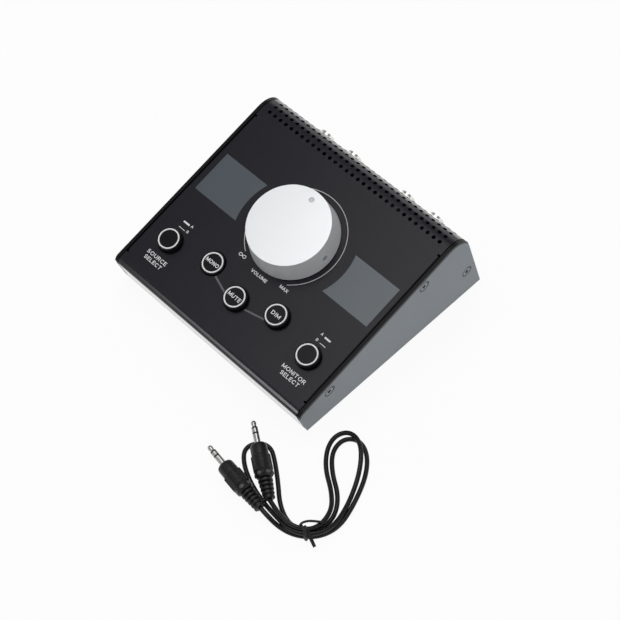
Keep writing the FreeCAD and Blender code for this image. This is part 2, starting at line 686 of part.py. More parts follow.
# Jack sockets: each housing is soldered to the jack board and held to the rear face by its nut
contacts = []
slots = []
washers = []
nuts = []
for jack, (across, rise) in JACKS.items():
    box = block(f"jack_box_{jack}", f"{across} - jack_width / 2", JACK_BOARD_REAR,
                f"{rise} - jack_height / 2", "jack_width", "jack_length", "jack_height")
    bushing = rod(f"jack_bushing_{jack}", across, f"{REAR_INSIDE} - jack_length / 2", rise,
                  "jack_bushing", "jack_length / 2 + sheet_gauge + jack_bushing_reach", FACING_REAR)
    bore = rod(f"jack_bore_{jack}", across, "rear_reach + jack_bushing_reach - jack_bore_depth",
               rise, "jack_bore", f"jack_bore_depth + {OVERCUT}", FACING_REAR)
    panel_node(f"jack_{jack}", cut(f"jack_bored_{jack}", fuse(f"jack_blank_{jack}", box, bushing),
                                   bore))
    for pin in (-1, 0, 1):
        pin_across = f"{across} + {pin} * contact_pitch"
        pin_rise = f"{rise} - contact_drop"
        contacts.append(block(f"contact_{jack}_{pin}", f"{pin_across} - contact_width / 2",
                              f"{JACK_BOARD_FRONT} - contact_tail", pin_rise, "contact_width",
                              "contact_tail + board_thickness", "contact_thickness"))
        slots.append(block(f"slot_{jack}_{pin}",
                           f"{pin_across} - contact_width / 2 - screw_clearance",
                           f"{JACK_BOARD_FRONT} - {OVERCUT}", f"{pin_rise} - screw_clearance",
                           "contact_width + 2 * screw_clearance", THROUGH_BOARD,
                           "contact_thickness + 2 * screw_clearance"))
    washers.append(cut(f"jack_washer_{jack}",
                       rod(f"jack_washer_disc_{jack}", across, "rear_reach", rise,
                           "jack_washer_diameter", "jack_washer_thickness", FACING_REAR),
                       rod(f"jack_washer_bore_{jack}", across, f"rear_reach - {OVERCUT}", rise,
                           "jack_bushing + jack_clearance",
                           f"jack_washer_thickness + {2 * OVERCUT}", FACING_REAR)))
    nuts.append(cut(f"jack_nut_{jack}",
                    hexagon(f"jack_nut_blank_{jack}", across, "rear_reach + jack_washer_thickness",
                            rise, "jack_nut_key", "jack_nut_height", FACING_REAR),
                    rod(f"jack_nut_thread_{jack}", across, "rear_reach", rise,
                        "jack_bushing + jack_clearance",
                        f"jack_washer_thickness + jack_nut_height + {OVERCUT}", FACING_REAR)))
jack_board_foot = f"({tray_bottom(JACK_BOARD_FRONT)} + {FLOOR_RISE} + jack_board_floor_gap)"
jack_board = block("jack_board_blank", "-case_width / 2 + jack_board_side_inset", JACK_BOARD_FRONT,
                   jack_board_foot, "case_width - 2 * jack_board_side_inset", "board_thickness",
                   f"-jack_board_top - {jack_board_foot}")
panel_node("jack_board", cut("jack_board_slotted", jack_board, *slots))
loose_panel_node("jack_contacts", contacts)
loose_panel_node("jack_washers", washers)
loose_panel_node("jack_nuts", nuts)

mini_blank = fuse("mini_blank",
                  block("mini_box", "-mini_width / 2", f"{REAR_INSIDE} - mini_length",
                        f"{MINI_ROW} - mini_height / 2", "mini_width", "mini_length", "mini_height"),
                  rod("mini_bushing_rod", 0, f"{REAR_INSIDE} - mini_length / 2", MINI_ROW,
                      "mini_bushing", "mini_length / 2 + sheet_gauge + mini_bushing_reach",
                      FACING_REAR))
mini_bore = rod("mini_bore_rod", 0, "rear_reach + mini_bushing_reach - mini_bore_depth",
                MINI_ROW, "mini_bore", f"mini_bore_depth + {OVERCUT}", FACING_REAR)
panel_node("mini_jack", cut("mini_bored", mini_blank, mini_bore))
panel_node("mini_jack_nut", cut("mini_nut_drilled",
                                hexagon("mini_nut_blank", 0, "rear_reach", MINI_ROW,
                                        "mini_nut_key", "mini_nut_height", FACING_REAR),
                                rod("mini_nut_thread", 0, f"rear_reach - {OVERCUT}", MINI_ROW,
                                    "mini_bushing + jack_clearance",
                                    f"mini_nut_height + {2 * OVERCUT}", FACING_REAR)))

# Volume potentiometer: clamped to the cover by its nut, with the wiper turning inside its body
pot_blank = fuse("pot_blank",
                 centred_block("pot_box", "0", "0", BOARD_TOP, "pot_width", "pot_width",
                               "board_depth - sheet_gauge"),
                 rod("pot_bushing_rod", 0, 0, "-2 * sheet_gauge", "pot_bushing",
                     "2 * sheet_gauge + pot_bushing_rise"))
panel_node("pot_body", cut("pot_bored",
                           cut("pot_hollow", pot_blank,
                               rod("pot_track", 0, 0, POT_FLOOR, "pot_track_diameter",
                                   "pot_track_height")),
                           rod("pot_shaft_bore", 0, 0, POT_FLOOR,
                               "shaft_diameter + 2 * shaft_clearance",
                               "board_depth + pot_bushing_rise")))
panel_node("pot_washer", cut("pot_washer_drilled",
                             rod("pot_washer_disc", 0, 0, 0, "pot_washer_diameter",
                                 "pot_washer_thickness"),
                             rod("pot_washer_bore", 0, 0, -OVERCUT, "pot_bushing + pot_clearance",
                                 f"pot_washer_thickness + {2 * OVERCUT}")))
panel_node("pot_nut", cut("pot_nut_drilled",
                          hexagon("pot_nut_blank", 0, 0, "pot_washer_thickness", "pot_nut_key",
                                  "pot_nut_height"),
                          rod("pot_nut_thread", 0, 0, 0, "pot_bushing + pot_clearance",
                              f"pot_washer_thickness + pot_nut_height + {OVERCUT}")))
shaft_foot = f"({POT_FLOOR} + wiper_gap)"
pot_shaft = fuse("pot_shaft_blank",
                 rod("shaft_rod", 0, 0, shaft_foot, "shaft_diameter", f"shaft_rise - {shaft_foot}"),
                 rod("wiper_disc", 0, 0, shaft_foot, "wiper_diameter", "wiper_height"))
panel_node("pot_shaft", cut("pot_shaft_flatted", pot_shaft,
                            block("shaft_flat_tool", "shaft_flat", "-shaft_diameter",
                                  "shaft_rise - shaft_flat_length", "shaft_diameter",
                                  "2 * shaft_diameter", f"shaft_flat_length + {OVERCUT}")))

# Volume knob: turned shell on a moulded hub, with a set screw against the shaft's flat
turned = cut("knob_hollowed",
             cone("knob_cone", 0, 0, "knob_lift", "knob_base_diameter", "knob_top_diameter",
                  "knob_height"),
             rod("knob_hollow", 0, 0, f"knob_lift - {OVERCUT}", "knob_hollow_diameter",
                 f"knob_height - knob_roof + {OVERCUT}"))
dimple = doc.addObject("Part::Sphere", "dimple_ball")
DIMPLE_BALL = "((dimple_diameter ^ 2 / 4 + dimple_depth ^ 2) / (2 * dimple_depth))"
bind(dimple, Radius=DIMPLE_BALL)
put(dimple, 0, "dimple_reach", f"{KNOB_TOP} - dimple_depth + {DIMPLE_BALL}")
key_way = rod("set_screw_way", "shaft_diameter", 0, SET_SCREW_AXIS, "set_screw_hole",
              "knob_base_diameter / 2", FACING_RIGHT)
panel_node("knob_shell", cut("knob_marked", turned, dimple, key_way))
hub = cut("hub_bored",
          rod("hub_rod", 0, 0, HUB_FOOT, "hub_diameter", f"{KNOB_CEILING} - {HUB_FOOT}"),
          rod("hub_bore", 0, 0, f"{HUB_FOOT} - {OVERCUT}", "shaft_diameter + 2 * shaft_clearance",
              f"shaft_rise + {OVERCUT} - {HUB_FOOT} + shaft_clearance"))
panel_node("knob_hub", cut("hub_threaded", hub,
                           rod("hub_thread", 0, 0, SET_SCREW_AXIS,
                               "set_screw_diameter + screw_clearance", "hub_diameter",
                               FACING_RIGHT)))
set_screw = rod("set_screw_rod", "shaft_flat", 0, SET_SCREW_AXIS, "set_screw_diameter",
                "set_screw_length", FACING_RIGHT)
panel_node("knob_set_screw", cut("set_screw_keyed", set_screw,
                                 hexagon("set_screw_socket",
                                         "shaft_flat + set_screw_length - set_screw_key_depth", 0,
                                         SET_SCREW_AXIS, "set_screw_key",
                                         f"set_screw_key_depth + {OVERCUT}", FACING_RIGHT)))

# Push buttons: cap on a plunger whose collar the switch body holds, over a return spring
for button in BUTTONS:
    spot = (BUTTON_ACROSS[button], f"{button}_along")
    drop = "button_travel" if button in LATCHED_BUTTONS else "0"
    cap_top = f"(button_rise - {drop})"
    flange_top = f"(-sheet_gauge - cap_flange_gap - {drop})"
    flange_foot = f"(-sheet_gauge - cap_flange_gap - cap_flange_thickness - {drop})"
    collar_foot = f"({SWITCH_CEILING} - collar_gap - collar_height - {drop})"
    boss_height = f"{cap_top} - cap_roof - {flange_foot}"
    cup = cut(f"{button}_cup",
              fuse(f"{button}_blank",
                   rod(f"{button}_wall", *spot, flange_foot, "button_diameter",
                       f"{cap_top} - button_edge - {flange_foot}"),
                   cone(f"{button}_crown", *spot, f"{cap_top} - button_edge", "button_diameter",
                        "button_diameter - 2 * button_edge", "button_edge"),
                   rod(f"{button}_flange", *spot, flange_foot, "cap_flange_diameter",
                       "cap_flange_thickness")),
              rod(f"{button}_hollow", *spot, f"{flange_foot} - {OVERCUT}",
                  "button_diameter - 2 * cap_wall", f"{boss_height} + {OVERCUT}"))
    boss = cut(f"{button}_boss",
               rod(f"{button}_boss_rod", *spot, flange_foot, "cap_boss",
                   f"{boss_height} + cap_roof / 2"),
               rod(f"{button}_boss_bore", *spot, f"{flange_foot} - {OVERCUT}",
                   "plunger_diameter + 2 * plunger_clearance", f"{boss_height} + {OVERCUT}"))
    panel_node(f"button_{button}", fuse(f"{button}_cap", cup, boss))
    panel_node(f"plunger_{button}", fuse(
        f"{button}_plunger",
        rod(f"{button}_stem", *spot, collar_foot, "plunger_diameter",
            f"{cap_top} - cap_roof - {collar_foot}"),
        rod(f"{button}_collar", *spot, collar_foot, "collar_diameter", "collar_height"),
        rod(f"{button}_tail", *spot, f"{collar_foot} - tail_length", "tail_diameter",
            "tail_length + collar_height")))
    panel_node(f"switch_{button}", cut(
        f"{button}_switch_bored",
        cut(f"{button}_switch_hollow",
            centred_block(f"{button}_switch_box", *spot, BOARD_TOP, "switch_width", "switch_width",
                          "switch_height"),
            rod(f"{button}_chamber", *spot, SWITCH_FLOOR, "switch_chamber",
                f"{SWITCH_CEILING} - {SWITCH_FLOOR}")),
        rod(f"{button}_switch_mouth", *spot, f"{SWITCH_CEILING} - {OVERCUT}",
            "plunger_diameter + 2 * plunger_clearance", f"switch_wall + {2 * OVERCUT}")))
    panel_node(f"spring_{button}", cut(
        f"{button}_spring",
        rod(f"{button}_spring_rod", *spot, SWITCH_FLOOR, "spring_diameter",
            f"{collar_foot} - {SWITCH_FLOOR}"),
        rod(f"{button}_spring_bore", *spot, f"{SWITCH_FLOOR} - {OVERCUT}",
            "spring_diameter - 2 * spring_wire",
            f"{collar_foot} - {SWITCH_FLOOR} + {2 * OVERCUT}")))

# Patch lead: straight runs joined by arcs, each as large as its two runs allow
route = [FreeCAD.Vector(*spot) for spot in LEAD_ROUTE]
arc_share = 0.45
path_edges = []
radii = []
leg_start = route[0]
for before, corner, after in zip(route, route[1:], route[2:]):
    to_before = before - corner
    to_after = after - corner
    turn = math.pi - to_before.getAngle(to_after)
    reach = arc_share * min(to_before.Length, to_after.Length)
    radius = reach / math.tan(turn / 2)
    radii.append(radius)
    to_before.normalize()
    to_after.normalize()
    inward = to_before + to_after
    inward.normalize()
    arc_start = corner + to_before * reach
    arc_end = corner + to_after * reach
    arc_middle = corner + inward * (math.hypot(reach, radius) - radius)
    path_edges.append(Part.LineSegment(leg_start, arc_start).toShape())
    path_edges.append(Part.Arc(arc_start, arc_middle, arc_end).toShape())
    leg_start = arc_end
path_edges.append(Part.LineSegment(leg_start, route[-1]).toShape())
path = Part.Wire(path_edges)
lead_radius = SIZES["lead_diameter"] / 2
section = Part.Wire(Part.Circle(route[0], route[1] - route[0], lead_radius).toShape())
lead = doc.addObject("Part::Feature", "lead_tube")
lead.Shape = path.makePipeShell([section], True, False)
node("lead_cord", lead)
print("lead length", round(path.Length, 1), "arc radii", [round(radius, 1) for radius in radii])
expected = math.pi * lead_radius ** 2 * path.Length
print("lead volume over section times length", round(lead.Shape.Volume / expected, 4))


def lead_node(label, solid, relief_end, nose):
    """Stand a plug piece, drawn upwards from its nose, on the axis from the nose to the cord."""
    axis = relief_end - nose
    axis.normalize()
    body_length = SIZES["plug_length"] + SIZES["relief_rings"] * SIZES["relief_pitch"]
    solid.Placement = FreeCAD.Placement(relief_end - axis * body_length,
                                        FreeCAD.Rotation(FreeCAD.Vector(0, 0, 1), axis))
    return node(label, solid)


plug_b_nose = route[0] * 2 - route[1]
for plug, relief_end, nose in (("a", route[-1], FreeCAD.Vector(*PLUG_A_NOSE)),
                               ("b", route[0], plug_b_nose)):
    nose_edge = "(plug_diameter - 2 * plug_nose)"
    heel_edge = "(plug_diameter - 2 * plug_heel)"
    bevel = cone(f"plug_nose_{plug}", 0, 0, 0, nose_edge, "plug_diameter", "plug_nose_length")
    barrel = rod(f"plug_barrel_{plug}", 0, 0, "plug_nose_length", "plug_diameter",
                 "plug_length - plug_nose_length - plug_heel")
    heel = cone(f"plug_heel_{plug}", 0, 0, "plug_length - plug_heel", "plug_diameter", heel_edge,
                "plug_heel")
    core = rod(f"relief_core_{plug}", 0, 0, "plug_length - plug_heel", "relief_core",
               "plug_heel + relief_rings * relief_pitch")
    rings = [rod(f"relief_ring_{plug}_{ring}", 0, 0,
                 f"plug_length + {ring + 1} * relief_pitch - relief_ring_thickness",
                 f"relief_ring_diameter - {ring} * relief_ring_taper", "relief_ring_thickness")
             for ring in range(int(SIZES["relief_rings"]))]
    handle = cut(f"plug_handle_{plug}",
                 fuse(f"plug_handle_blank_{plug}", bevel, barrel, heel, core, *rings),
                 rod(f"plug_socket_{plug}", 0, 0, -OVERCUT, "pin_waist_diameter",
                     f"pin_root + {OVERCUT}"))
    lead_node(f"plug_{plug}_body", handle, relief_end, nose)
    tip = cone(f"pin_tip_{plug}", 0, 0, "-pin_length", "pin_tip_diameter", "pin_diameter",
               "pin_tip_length")
    waist = cone(f"pin_waist_{plug}", 0, 0, "-pin_length + pin_tip_length", "pin_diameter",
                 "pin_waist_diameter", "pin_waist_length")
    shoulder = "(-pin_length + pin_tip_length + pin_waist_length)"
    stem = rod(f"pin_stem_{plug}", 0, 0, shoulder, "pin_diameter", f"-{shoulder}")
    root = rod(f"pin_root_{plug}", 0, 0, shoulder, "pin_waist_diameter - pin_root_play",
               f"pin_root - {shoulder}")
    lead_node(f"plug_{plug}_contact", fuse(f"pin_{plug}", tip, waist, stem, root), relief_end, nose)


def rounded_sleeve(name, grow):
    """A square-cornered tube's outline with rounded corners, grown by a wall."""
    sleeve = centred_block(f"{name}_block", "0", "0", f"tie_thickness - {grow}", "tie_width",
                           f"tie_span + 2 * {grow}", f"tie_rise - 2 * tie_thickness + 2 * {grow}")
    doc.recompute()
    rounded = doc.addObject("Part::Fillet", name)
    rounded.Base = sleeve
    radius = SIZES["tie_corner"] + (SIZES["tie_thickness"] if grow != "0" else 0)
    rounded.Edges = [(index, radius, radius) for index, edge in enumerate(sleeve.Shape.Edges, start=1)
                     if edge.BoundBox.YLength < NEAR and edge.BoundBox.ZLength < NEAR]
    return rounded


band = cut("tie_band", rounded_sleeve("tie_outer", "tie_thickness"), rounded_sleeve("tie_inner", "0"))
tail = rod("tie_tail", 0, "-tie_span / 2 - tie_thickness - tie_tail_length", "tie_rise / 2",
           "tie_tail_diameter", "tie_tail_length + tie_thickness / 2", FACING_REAR)
cable_tie = fuse("tie_twisted", band, tail)
cable_tie.Placement = FreeCAD.Placement(FreeCAD.Vector(*TIE_PLACE),
                                        FreeCAD.Rotation(FreeCAD.Vector(0, 0, 1), TIE_TURN))
node("cable_tie", cable_tie)

doc.recompute()
for thing in doc.Objects:
    if {"Invalid", "Error"} & set(thing.State):
        raise RuntimeError(f"{thing.Label} failed: {thing.State}")
for piece in nodes:
    if piece.Shape.isNull() or not piece.Shape.isValid():
        raise RuntimeError(f"{piece.Label} has no valid shape")
os.makedirs("parts", exist_ok=True)
for piece in nodes:
    piece.Shape.exportStep(f"parts/{piece.Label}.step")
    print(piece.Label, "solids", len(piece.Shape.Solids), "volume", round(piece.Shape.Volume, 1))
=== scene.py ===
import json
import math

import bpy
from mathutils import Matrix, Vector


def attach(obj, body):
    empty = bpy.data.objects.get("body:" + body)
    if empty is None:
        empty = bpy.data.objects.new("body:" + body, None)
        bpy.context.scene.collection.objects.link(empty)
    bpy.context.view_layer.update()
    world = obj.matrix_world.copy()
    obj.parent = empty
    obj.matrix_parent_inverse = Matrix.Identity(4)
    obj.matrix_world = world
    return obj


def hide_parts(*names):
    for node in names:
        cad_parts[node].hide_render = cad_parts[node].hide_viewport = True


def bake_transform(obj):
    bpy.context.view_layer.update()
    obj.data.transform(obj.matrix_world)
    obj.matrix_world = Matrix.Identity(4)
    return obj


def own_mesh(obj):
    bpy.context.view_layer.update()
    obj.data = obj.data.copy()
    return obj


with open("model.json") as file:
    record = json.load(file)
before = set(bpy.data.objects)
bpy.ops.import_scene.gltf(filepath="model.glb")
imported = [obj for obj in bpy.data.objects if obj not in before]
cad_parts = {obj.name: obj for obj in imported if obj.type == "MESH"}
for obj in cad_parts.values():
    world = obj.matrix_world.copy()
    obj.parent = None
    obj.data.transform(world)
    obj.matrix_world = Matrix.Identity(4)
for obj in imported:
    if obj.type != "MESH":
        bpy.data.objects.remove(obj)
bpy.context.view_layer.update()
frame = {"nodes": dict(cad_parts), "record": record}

# The desk and the studio
# A seamless white sweep in a room with pale walls and a darker ceiling. A wide soft lamp hangs over
# the box, a low one stands behind it, one to its right and a high strip in front. The camera looks
# down on the front right.
CAMERA_LENS = 93.4
CAMERA_FROM_KNOB = (0.3789, -0.3634, 0.7044)
CAMERA_TURNS = (34.075, 0.322, 44.863)
joints = {joint["name"]: joint for joint in frame["record"]["behaviour"]["joints"]}
knob_axis = Vector(joints["volume"]["pos_m"])
panel_out = Vector(joints["volume"]["axis"])
slope = math.atan2(-panel_out.y, panel_out.z)

camera = bpy.data.objects.new("studio_camera", bpy.data.cameras.new("studio_camera"))
bpy.context.collection.objects.link(camera)
camera.data.lens = CAMERA_LENS
camera.location = knob_axis + Vector(CAMERA_FROM_KNOB)
camera.rotation_euler = [math.radians(turn) for turn in CAMERA_TURNS]
bpy.context.scene.camera = camera
bpy.context.scene.view_settings.view_transform = "Standard"


class Field:
    """A value, colour or vector in a material, with arithmetic that adds its Math nodes."""

    def __init__(self, tree, socket):
        self.tree = tree
        self.socket = socket

    def node(self, kind, sockets, settings=None, stops=(), output=0):
        """One output of a new node with these settings, ramp stops and socket values or links."""
        made = self.tree.nodes.new(kind)
        for name, setting in (settings or {}).items():
            setattr(made, name, setting)
        for index, (position, colour) in enumerate(stops):
            ramp = made.color_ramp.elements
            element = ramp[index] if index < 2 else ramp.new(position)
            element.position = position
            element.color = (*colour, 1)
        for key, value in sockets.items():
            if isinstance(value, Field):
                self.tree.links.new(value.socket, made.inputs[key])
            else:
                made.inputs[key].default_value = value
        return Field(self.tree, made.outputs[output])

    def math(self, operation, *values):
        return self.node("ShaderNodeMath", dict(enumerate(values)), {"operation": operation})

    def __add__(self, other):
        return self.math("ADD", self, other)

    def __sub__(self, other):
        return self.math("SUBTRACT", self, other)

    def __rsub__(self, other):
        return self.math("SUBTRACT", other, self)

    def __mul__(self, other):
        return self.math("MULTIPLY", self, other)

    def __gt__(self, other):
        return self.math("GREATER_THAN", self, other)

    __radd__ = __add__
    __rmul__ = __mul__

    def part(self, way):
        """How far a position lies along X, Y or Z, for a way of 0, 1 or 2."""
        return self.node("ShaderNodeSeparateXYZ", {0: self}, output=way)

    def mix(self, low, high):
        """The colour low where this is 0 and high where it is 1."""
        low, high = (end if isinstance(end, Field) else (*end, 1) for end in (low, high))
        return self.node("ShaderNodeMix", {0: self, 6: low, 7: high}, {"data_type": "RGBA"},
                         output=2)

    def noise(self, scale, detail=2.0, rough=0.5):
        """Cloudy noise over a position, with so many clouds to a metre."""
        return self.node("ShaderNodeTexNoise",
                         {"Vector": self, "Scale": scale, "Detail": detail, "Roughness": rough})

    def bump(self, depth):
        """A surface that this height stands out from, by up to a depth in metres."""
        return self.node("ShaderNodeBump", {"Height": self, "Distance": depth, "Strength": 1.0})


class Finish:
    """A surface finish: one shader, its fixed numbers, and what varies over the piece."""

    def __init__(self, name, **fixed):
        self.material = bpy.data.materials.new(name)
        self.material.use_nodes = True
        tree = self.material.node_tree
        self.shader = tree.nodes["Principled BSDF"]
        for socket, value in fixed.items():
            self.shader.inputs[socket.replace("_", " ")].default_value = value
        place = tree.nodes.new("ShaderNodeTexCoord")
        self.place = Field(tree, place.outputs["Object"])

    def vary(self, **fields):
        """Let fields drive the shader's sockets."""
        for socket, field in fields.items():
            field.tree.links.new(field.socket, self.shader.inputs[socket.replace("_", " ")])

    def on(self, *pieces):
        """Put this finish on whole pieces."""
        for piece in pieces:
            for slot in piece.material_slots:
                slot.material = self.material
            if not piece.material_slots:
                piece.data.materials.append(self.material)


def seen_plainly(tree):
    """1 for a ray from the camera, also by way of glass or polished metal, and 0 for light."""
    path = tree.nodes.new("ShaderNodeLightPath")
    straight, mirrored, through = (Field(tree, path.outputs[ray]) for ray in
                                   ("Is Camera Ray", "Is Glossy Ray", "Is Transmission Ray"))
    return straight.math("MAXIMUM", straight.math("MAXIMUM", straight, mirrored), through)


PAPER_WHITENED, SWEEP_SIZE = 0.93, 12.0
paper = Finish("sweep_paper", Roughness=0.9)
paper.vary(Base_Color=paper.place.noise(900.0).mix((0.92, 0.92, 0.92), (0.96, 0.96, 0.96)))
paper_tree = paper.material.node_tree
seen = seen_plainly(paper_tree)
bleached = seen.node("ShaderNodeMixShader",
                     {0: seen * PAPER_WHITENED,
                      1: Field(paper_tree, paper.shader.outputs["BSDF"]),
                      2: seen.node("ShaderNodeEmission", {"Strength": 1.0})})
paper_tree.links.new(bleached.socket, paper_tree.nodes["Material Output"].inputs["Surface"])
bpy.ops.object.select_all(action="DESELECT")
bpy.ops.mesh.primitive_grid_add(x_subdivisions=8, y_subdivisions=8, size=SWEEP_SIZE)
sweep = bpy.context.object
sweep.name = "sweep"
paper.on(sweep)

WALLS, CEILING, CEILING_STARTS = 0.86, 0.3, 0.6
world = bpy.data.worlds.new("studio_room")
bpy.context.scene.world = world
world.use_nodes = True
room = world.node_tree
outlook = Field(room, room.nodes.new("ShaderNodeTexCoord").outputs["Generated"])
climb = outlook.part(2) * (1 / CEILING_STARTS)
paint = climb.node("ShaderNodeValToRGB", {0: climb},
                   stops=((0.0, [WALLS] * 3), (1.0, [CEILING] * 3)))
room.links.new(paint.socket, room.nodes["Background"].inputs["Color"])


def soft_lamp(name, place, aim, size, power):
    """A soft lamp aimed at a place, with its width and height in metres and its power in watts."""
    lamp = bpy.data.objects.new(name, bpy.data.lights.new(name, "AREA"))
    bpy.context.collection.objects.link(lamp)
    lamp.data.shape = "RECTANGLE"
    lamp.data.size, lamp.data.size_y = size
    lamp.data.energy = power
    lamp.location = place
    lamp.rotation_euler = (Vector(aim) - Vector(place)).to_track_quat("-Z", "Y").to_euler()


BOX_MIDDLE = (0, 0, 0.03)
soft_lamp("top_lamp", (-0.15, 0.0, 1.05), (-0.15, 0.0, 0.0), (0.6, 0.9), 3.8)
soft_lamp("rear_lamp", (-0.45, 0.95, 0.4), BOX_MIDDLE, (0.8, 0.35), 1.6)
soft_lamp("front_lamp", (-0.5, -0.72, 0.98), BOX_MIDDLE, (0.8, 0.15), 0.8)
soft_lamp("right_lamp", (1.3, 0.1, 0.6), BOX_MIDDLE, (0.9, 0.9), 1.6)

# The cover
# Front, top and rear in one folded steel sheet, with four rows of vents along its rear bend. Its
# fine black powder coat is glossier on the front and over the rear bend. Along the front crease it
# carries a painted highlight, a pale grey band that grows brighter towards the right.
MM = 0.001
NODES = frame["nodes"]
COVER_WIDTH = 146.0
FRONT_FACE, FRONT_CREASE = -73.8, (-72.6, -71.3)
REAR_SHEEN, REAR_SHEEN_FOOT = 55.0, -12.0
PANEL = Matrix.Translation(knob_axis) @ Matrix.Rotation(slope, 4, "X")


def from_knob(place):
    """Positions measured from the knob's axis on the panel, X across, Y up the slope, Z out."""
    return place.node("ShaderNodeMapping",
                      {"Vector": place, "Location": knob_axis, "Rotation": (slope, 0, 0)},
                      {"vector_type": "TEXTURE"})


powder = Finish("powder_black", Specular_IOR_Level=0.25, Coat_Roughness=0.1, Coat_IOR=1.7)
powder_grain = powder.place.noise(2600.0, 2.0, 0.6)
powder_cloud = powder.place.noise(22.0, 3.0)
on_cover = from_knob(powder.place)
across_cover, up_slope, outward = (on_cover.part(way) for way in range(3))
to_the_right = across_cover * (1 / (COVER_WIDTH * MM)) + 0.5
# Painted highlight: a pale band across the start of the front bend, brighter towards the right.
crease_highlight = (up_slope > FRONT_CREASE[0] * MM) * (1 - (up_slope > FRONT_CREASE[1] * MM))
on_front = 1 - (up_slope > FRONT_FACE * MM)
on_rear_bend = (up_slope > REAR_SHEEN * MM) * (outward > REAR_SHEEN_FOOT * MM)
whole_coat = powder_cloud.mix((0.0065, 0.0058, 0.0105), (0.0085, 0.0076, 0.0135))
crease_highlight_colour = to_the_right.mix((0.02, 0.02, 0.021), (0.28, 0.28, 0.29))
powder.vary(Base_Color=crease_highlight.mix(whole_coat, crease_highlight_colour),
            Coat_Weight=on_front.math("MAXIMUM", on_front, on_rear_bend),
            Roughness=powder_grain * 0.08 + powder_cloud * 0.05 + 0.25,
            Normal=powder_grain.bump(0.00003))
powder.on(NODES["top_cover"])

# The panel's print
# Silk-screened ink on the powder coat: white lettering and marks, a thin silver volume arc, grey
# links between the middle buttons and two blue-grey fields whose inner sides follow the knob.
INK_DEPTH = 0.05 * MM


def bow(across, along, wide, tall, start, end, each=15):
    """Points along part of an ellipse, from one angle to another, about so many degrees apart."""
    steps = max(2, round(abs(end - start) / each))
    turns = [math.radians(start + (end - start) * step / steps) for step in range(steps + 1)]
    return [(across + wide * math.cos(turn), along + tall * math.sin(turn)) for turn in turns]


# Each letter's strokes, in a box one unit tall, and the width of that box.
LETTERS = {
    "A": (0.8, [[(0, 0), (0.4, 1)], [(0.4, 1), (0.8, 0)], [(0.14, 0.32), (0.66, 0.32)]]),
    "B": (0.64, [[(0, 0), (0, 1)], [(0, 1), *bow(0.34, 0.76, 0.24, 0.24, 90, -90), (0, 0.52)],
                 [(0, 0.52), *bow(0.36, 0.26, 0.28, 0.26, 90, -90), (0, 0)]]),
    "C": (0.78, [bow(0.44, 0.5, 0.44, 0.5, 48, 312)]),
    "D": (0.74, [[(0, 0), (0, 1)], [(0, 1), *bow(0.26, 0.5, 0.48, 0.5, 90, -90), (0, 0)]]),
    "E": (0.58, [[(0, 0), (0, 1)], [(0, 1), (0.58, 1)], [(0, 0.52), (0.52, 0.52)],
                 [(0, 0), (0.58, 0)]]),
    "I": (0.0, [[(0, 0), (0, 1)]]),
    "L": (0.55, [[(0, 0), (0, 1)], [(0, 0), (0.55, 0)]]),
    "M": (0.88, [[(0, 0), (0, 1)], [(0, 1), (0.44, 0.12)], [(0.44, 0.12), (0.88, 1)],
                 [(0.88, 1), (0.88, 0)]]),
    "N": (0.72, [[(0, 0), (0, 1)], [(0, 1), (0.72, 0)], [(0.72, 0), (0.72, 1)]]),
    "O": (0.9, [bow(0.45, 0.5, 0.45, 0.5, 0, 360)]),
    "R": (0.66, [[(0, 0), (0, 1)], [(0, 1), *bow(0.36, 0.75, 0.26, 0.25, 90, -90), (0, 0.5)],
                 [(0.34, 0.5), (0.66, 0)]]),
    "S": (0.6, [[*bow(0.3, 0.745, 0.28, 0.255, 35, 270), *bow(0.3, 0.245, 0.3, 0.245, 75, -145)]]),
    "T": (0.7, [[(0, 1), (0.7, 1)], [(0.35, 1), (0.35, 0)]]),
    "U": (0.7, [[(0, 1), *bow(0.35, 0.35, 0.35, 0.35, 180, 360), (0.7, 1)]]),
    "V": (0.78, [[(0, 1), (0.39, 0)], [(0.39, 0), (0.78, 1)]]),
    "X": (0.74, [[(0, 0), (0.74, 1)], [(0, 1), (0.74, 0)]]),
}
LETTER_GAP = 0.38


def grained(name, scale, dark, pale, depth, detail=2.0, rough=None, **fixed):
    """A finish whose fine grain shows in its colour, its relief and, where given, its roughness."""
    finish = Finish(name, **fixed)
    grain = finish.place.noise(scale, detail)
    finish.vary(Base_Color=grain.mix(dark, pale), Normal=grain.bump(depth))
    if rough:
        finish.vary(Roughness=grain * (rough[1] - rough[0]) + rough[0])
    return finish


def ink(name, colour, edge_colour, roughness=0.55):
    """Screen ink of one colour, a little thinner where the mesh left its pattern."""
    return grained(name, 1800.0, edge_colour, colour, depth=0.00001, Roughness=roughness)


white_ink = ink("ink_white", (0.97, 0.97, 0.97), (0.91, 0.91, 0.92))
grey_ink = ink("ink_grey", (0.14, 0.14, 0.148), (0.12, 0.12, 0.127))
arc_ink = ink("ink_silver", (0.65, 0.635, 0.64), (0.56, 0.55, 0.55))
slate_ink = ink("ink_slate", (0.082, 0.1, 0.117), (0.074, 0.091, 0.107), 0.25)


def tube_line(name, thickness, rounding, steps=12):
    """A line in space that is drawn as a tube with closed ends, still without any runs."""
    line = bpy.data.curves.new(name, "CURVE")
    line.dimensions = "3D"
    line.bevel_depth = thickness / 2
    line.bevel_resolution = rounding
    line.resolution_u = steps
    line.use_fill_caps = True
    return line


def add_run(line, kind, places, closed=False):
    """One run of a line, smooth or with corners, along places in metres."""
    run = line.splines.new(kind)
    run.points.add(len(places) - 1)
    for point, place in zip(run.points, places):
        point.co = (*place, 1)
    run.order_u = 3
    run.use_cyclic_u = closed
    run.use_endpoint_u = not closed
    return run


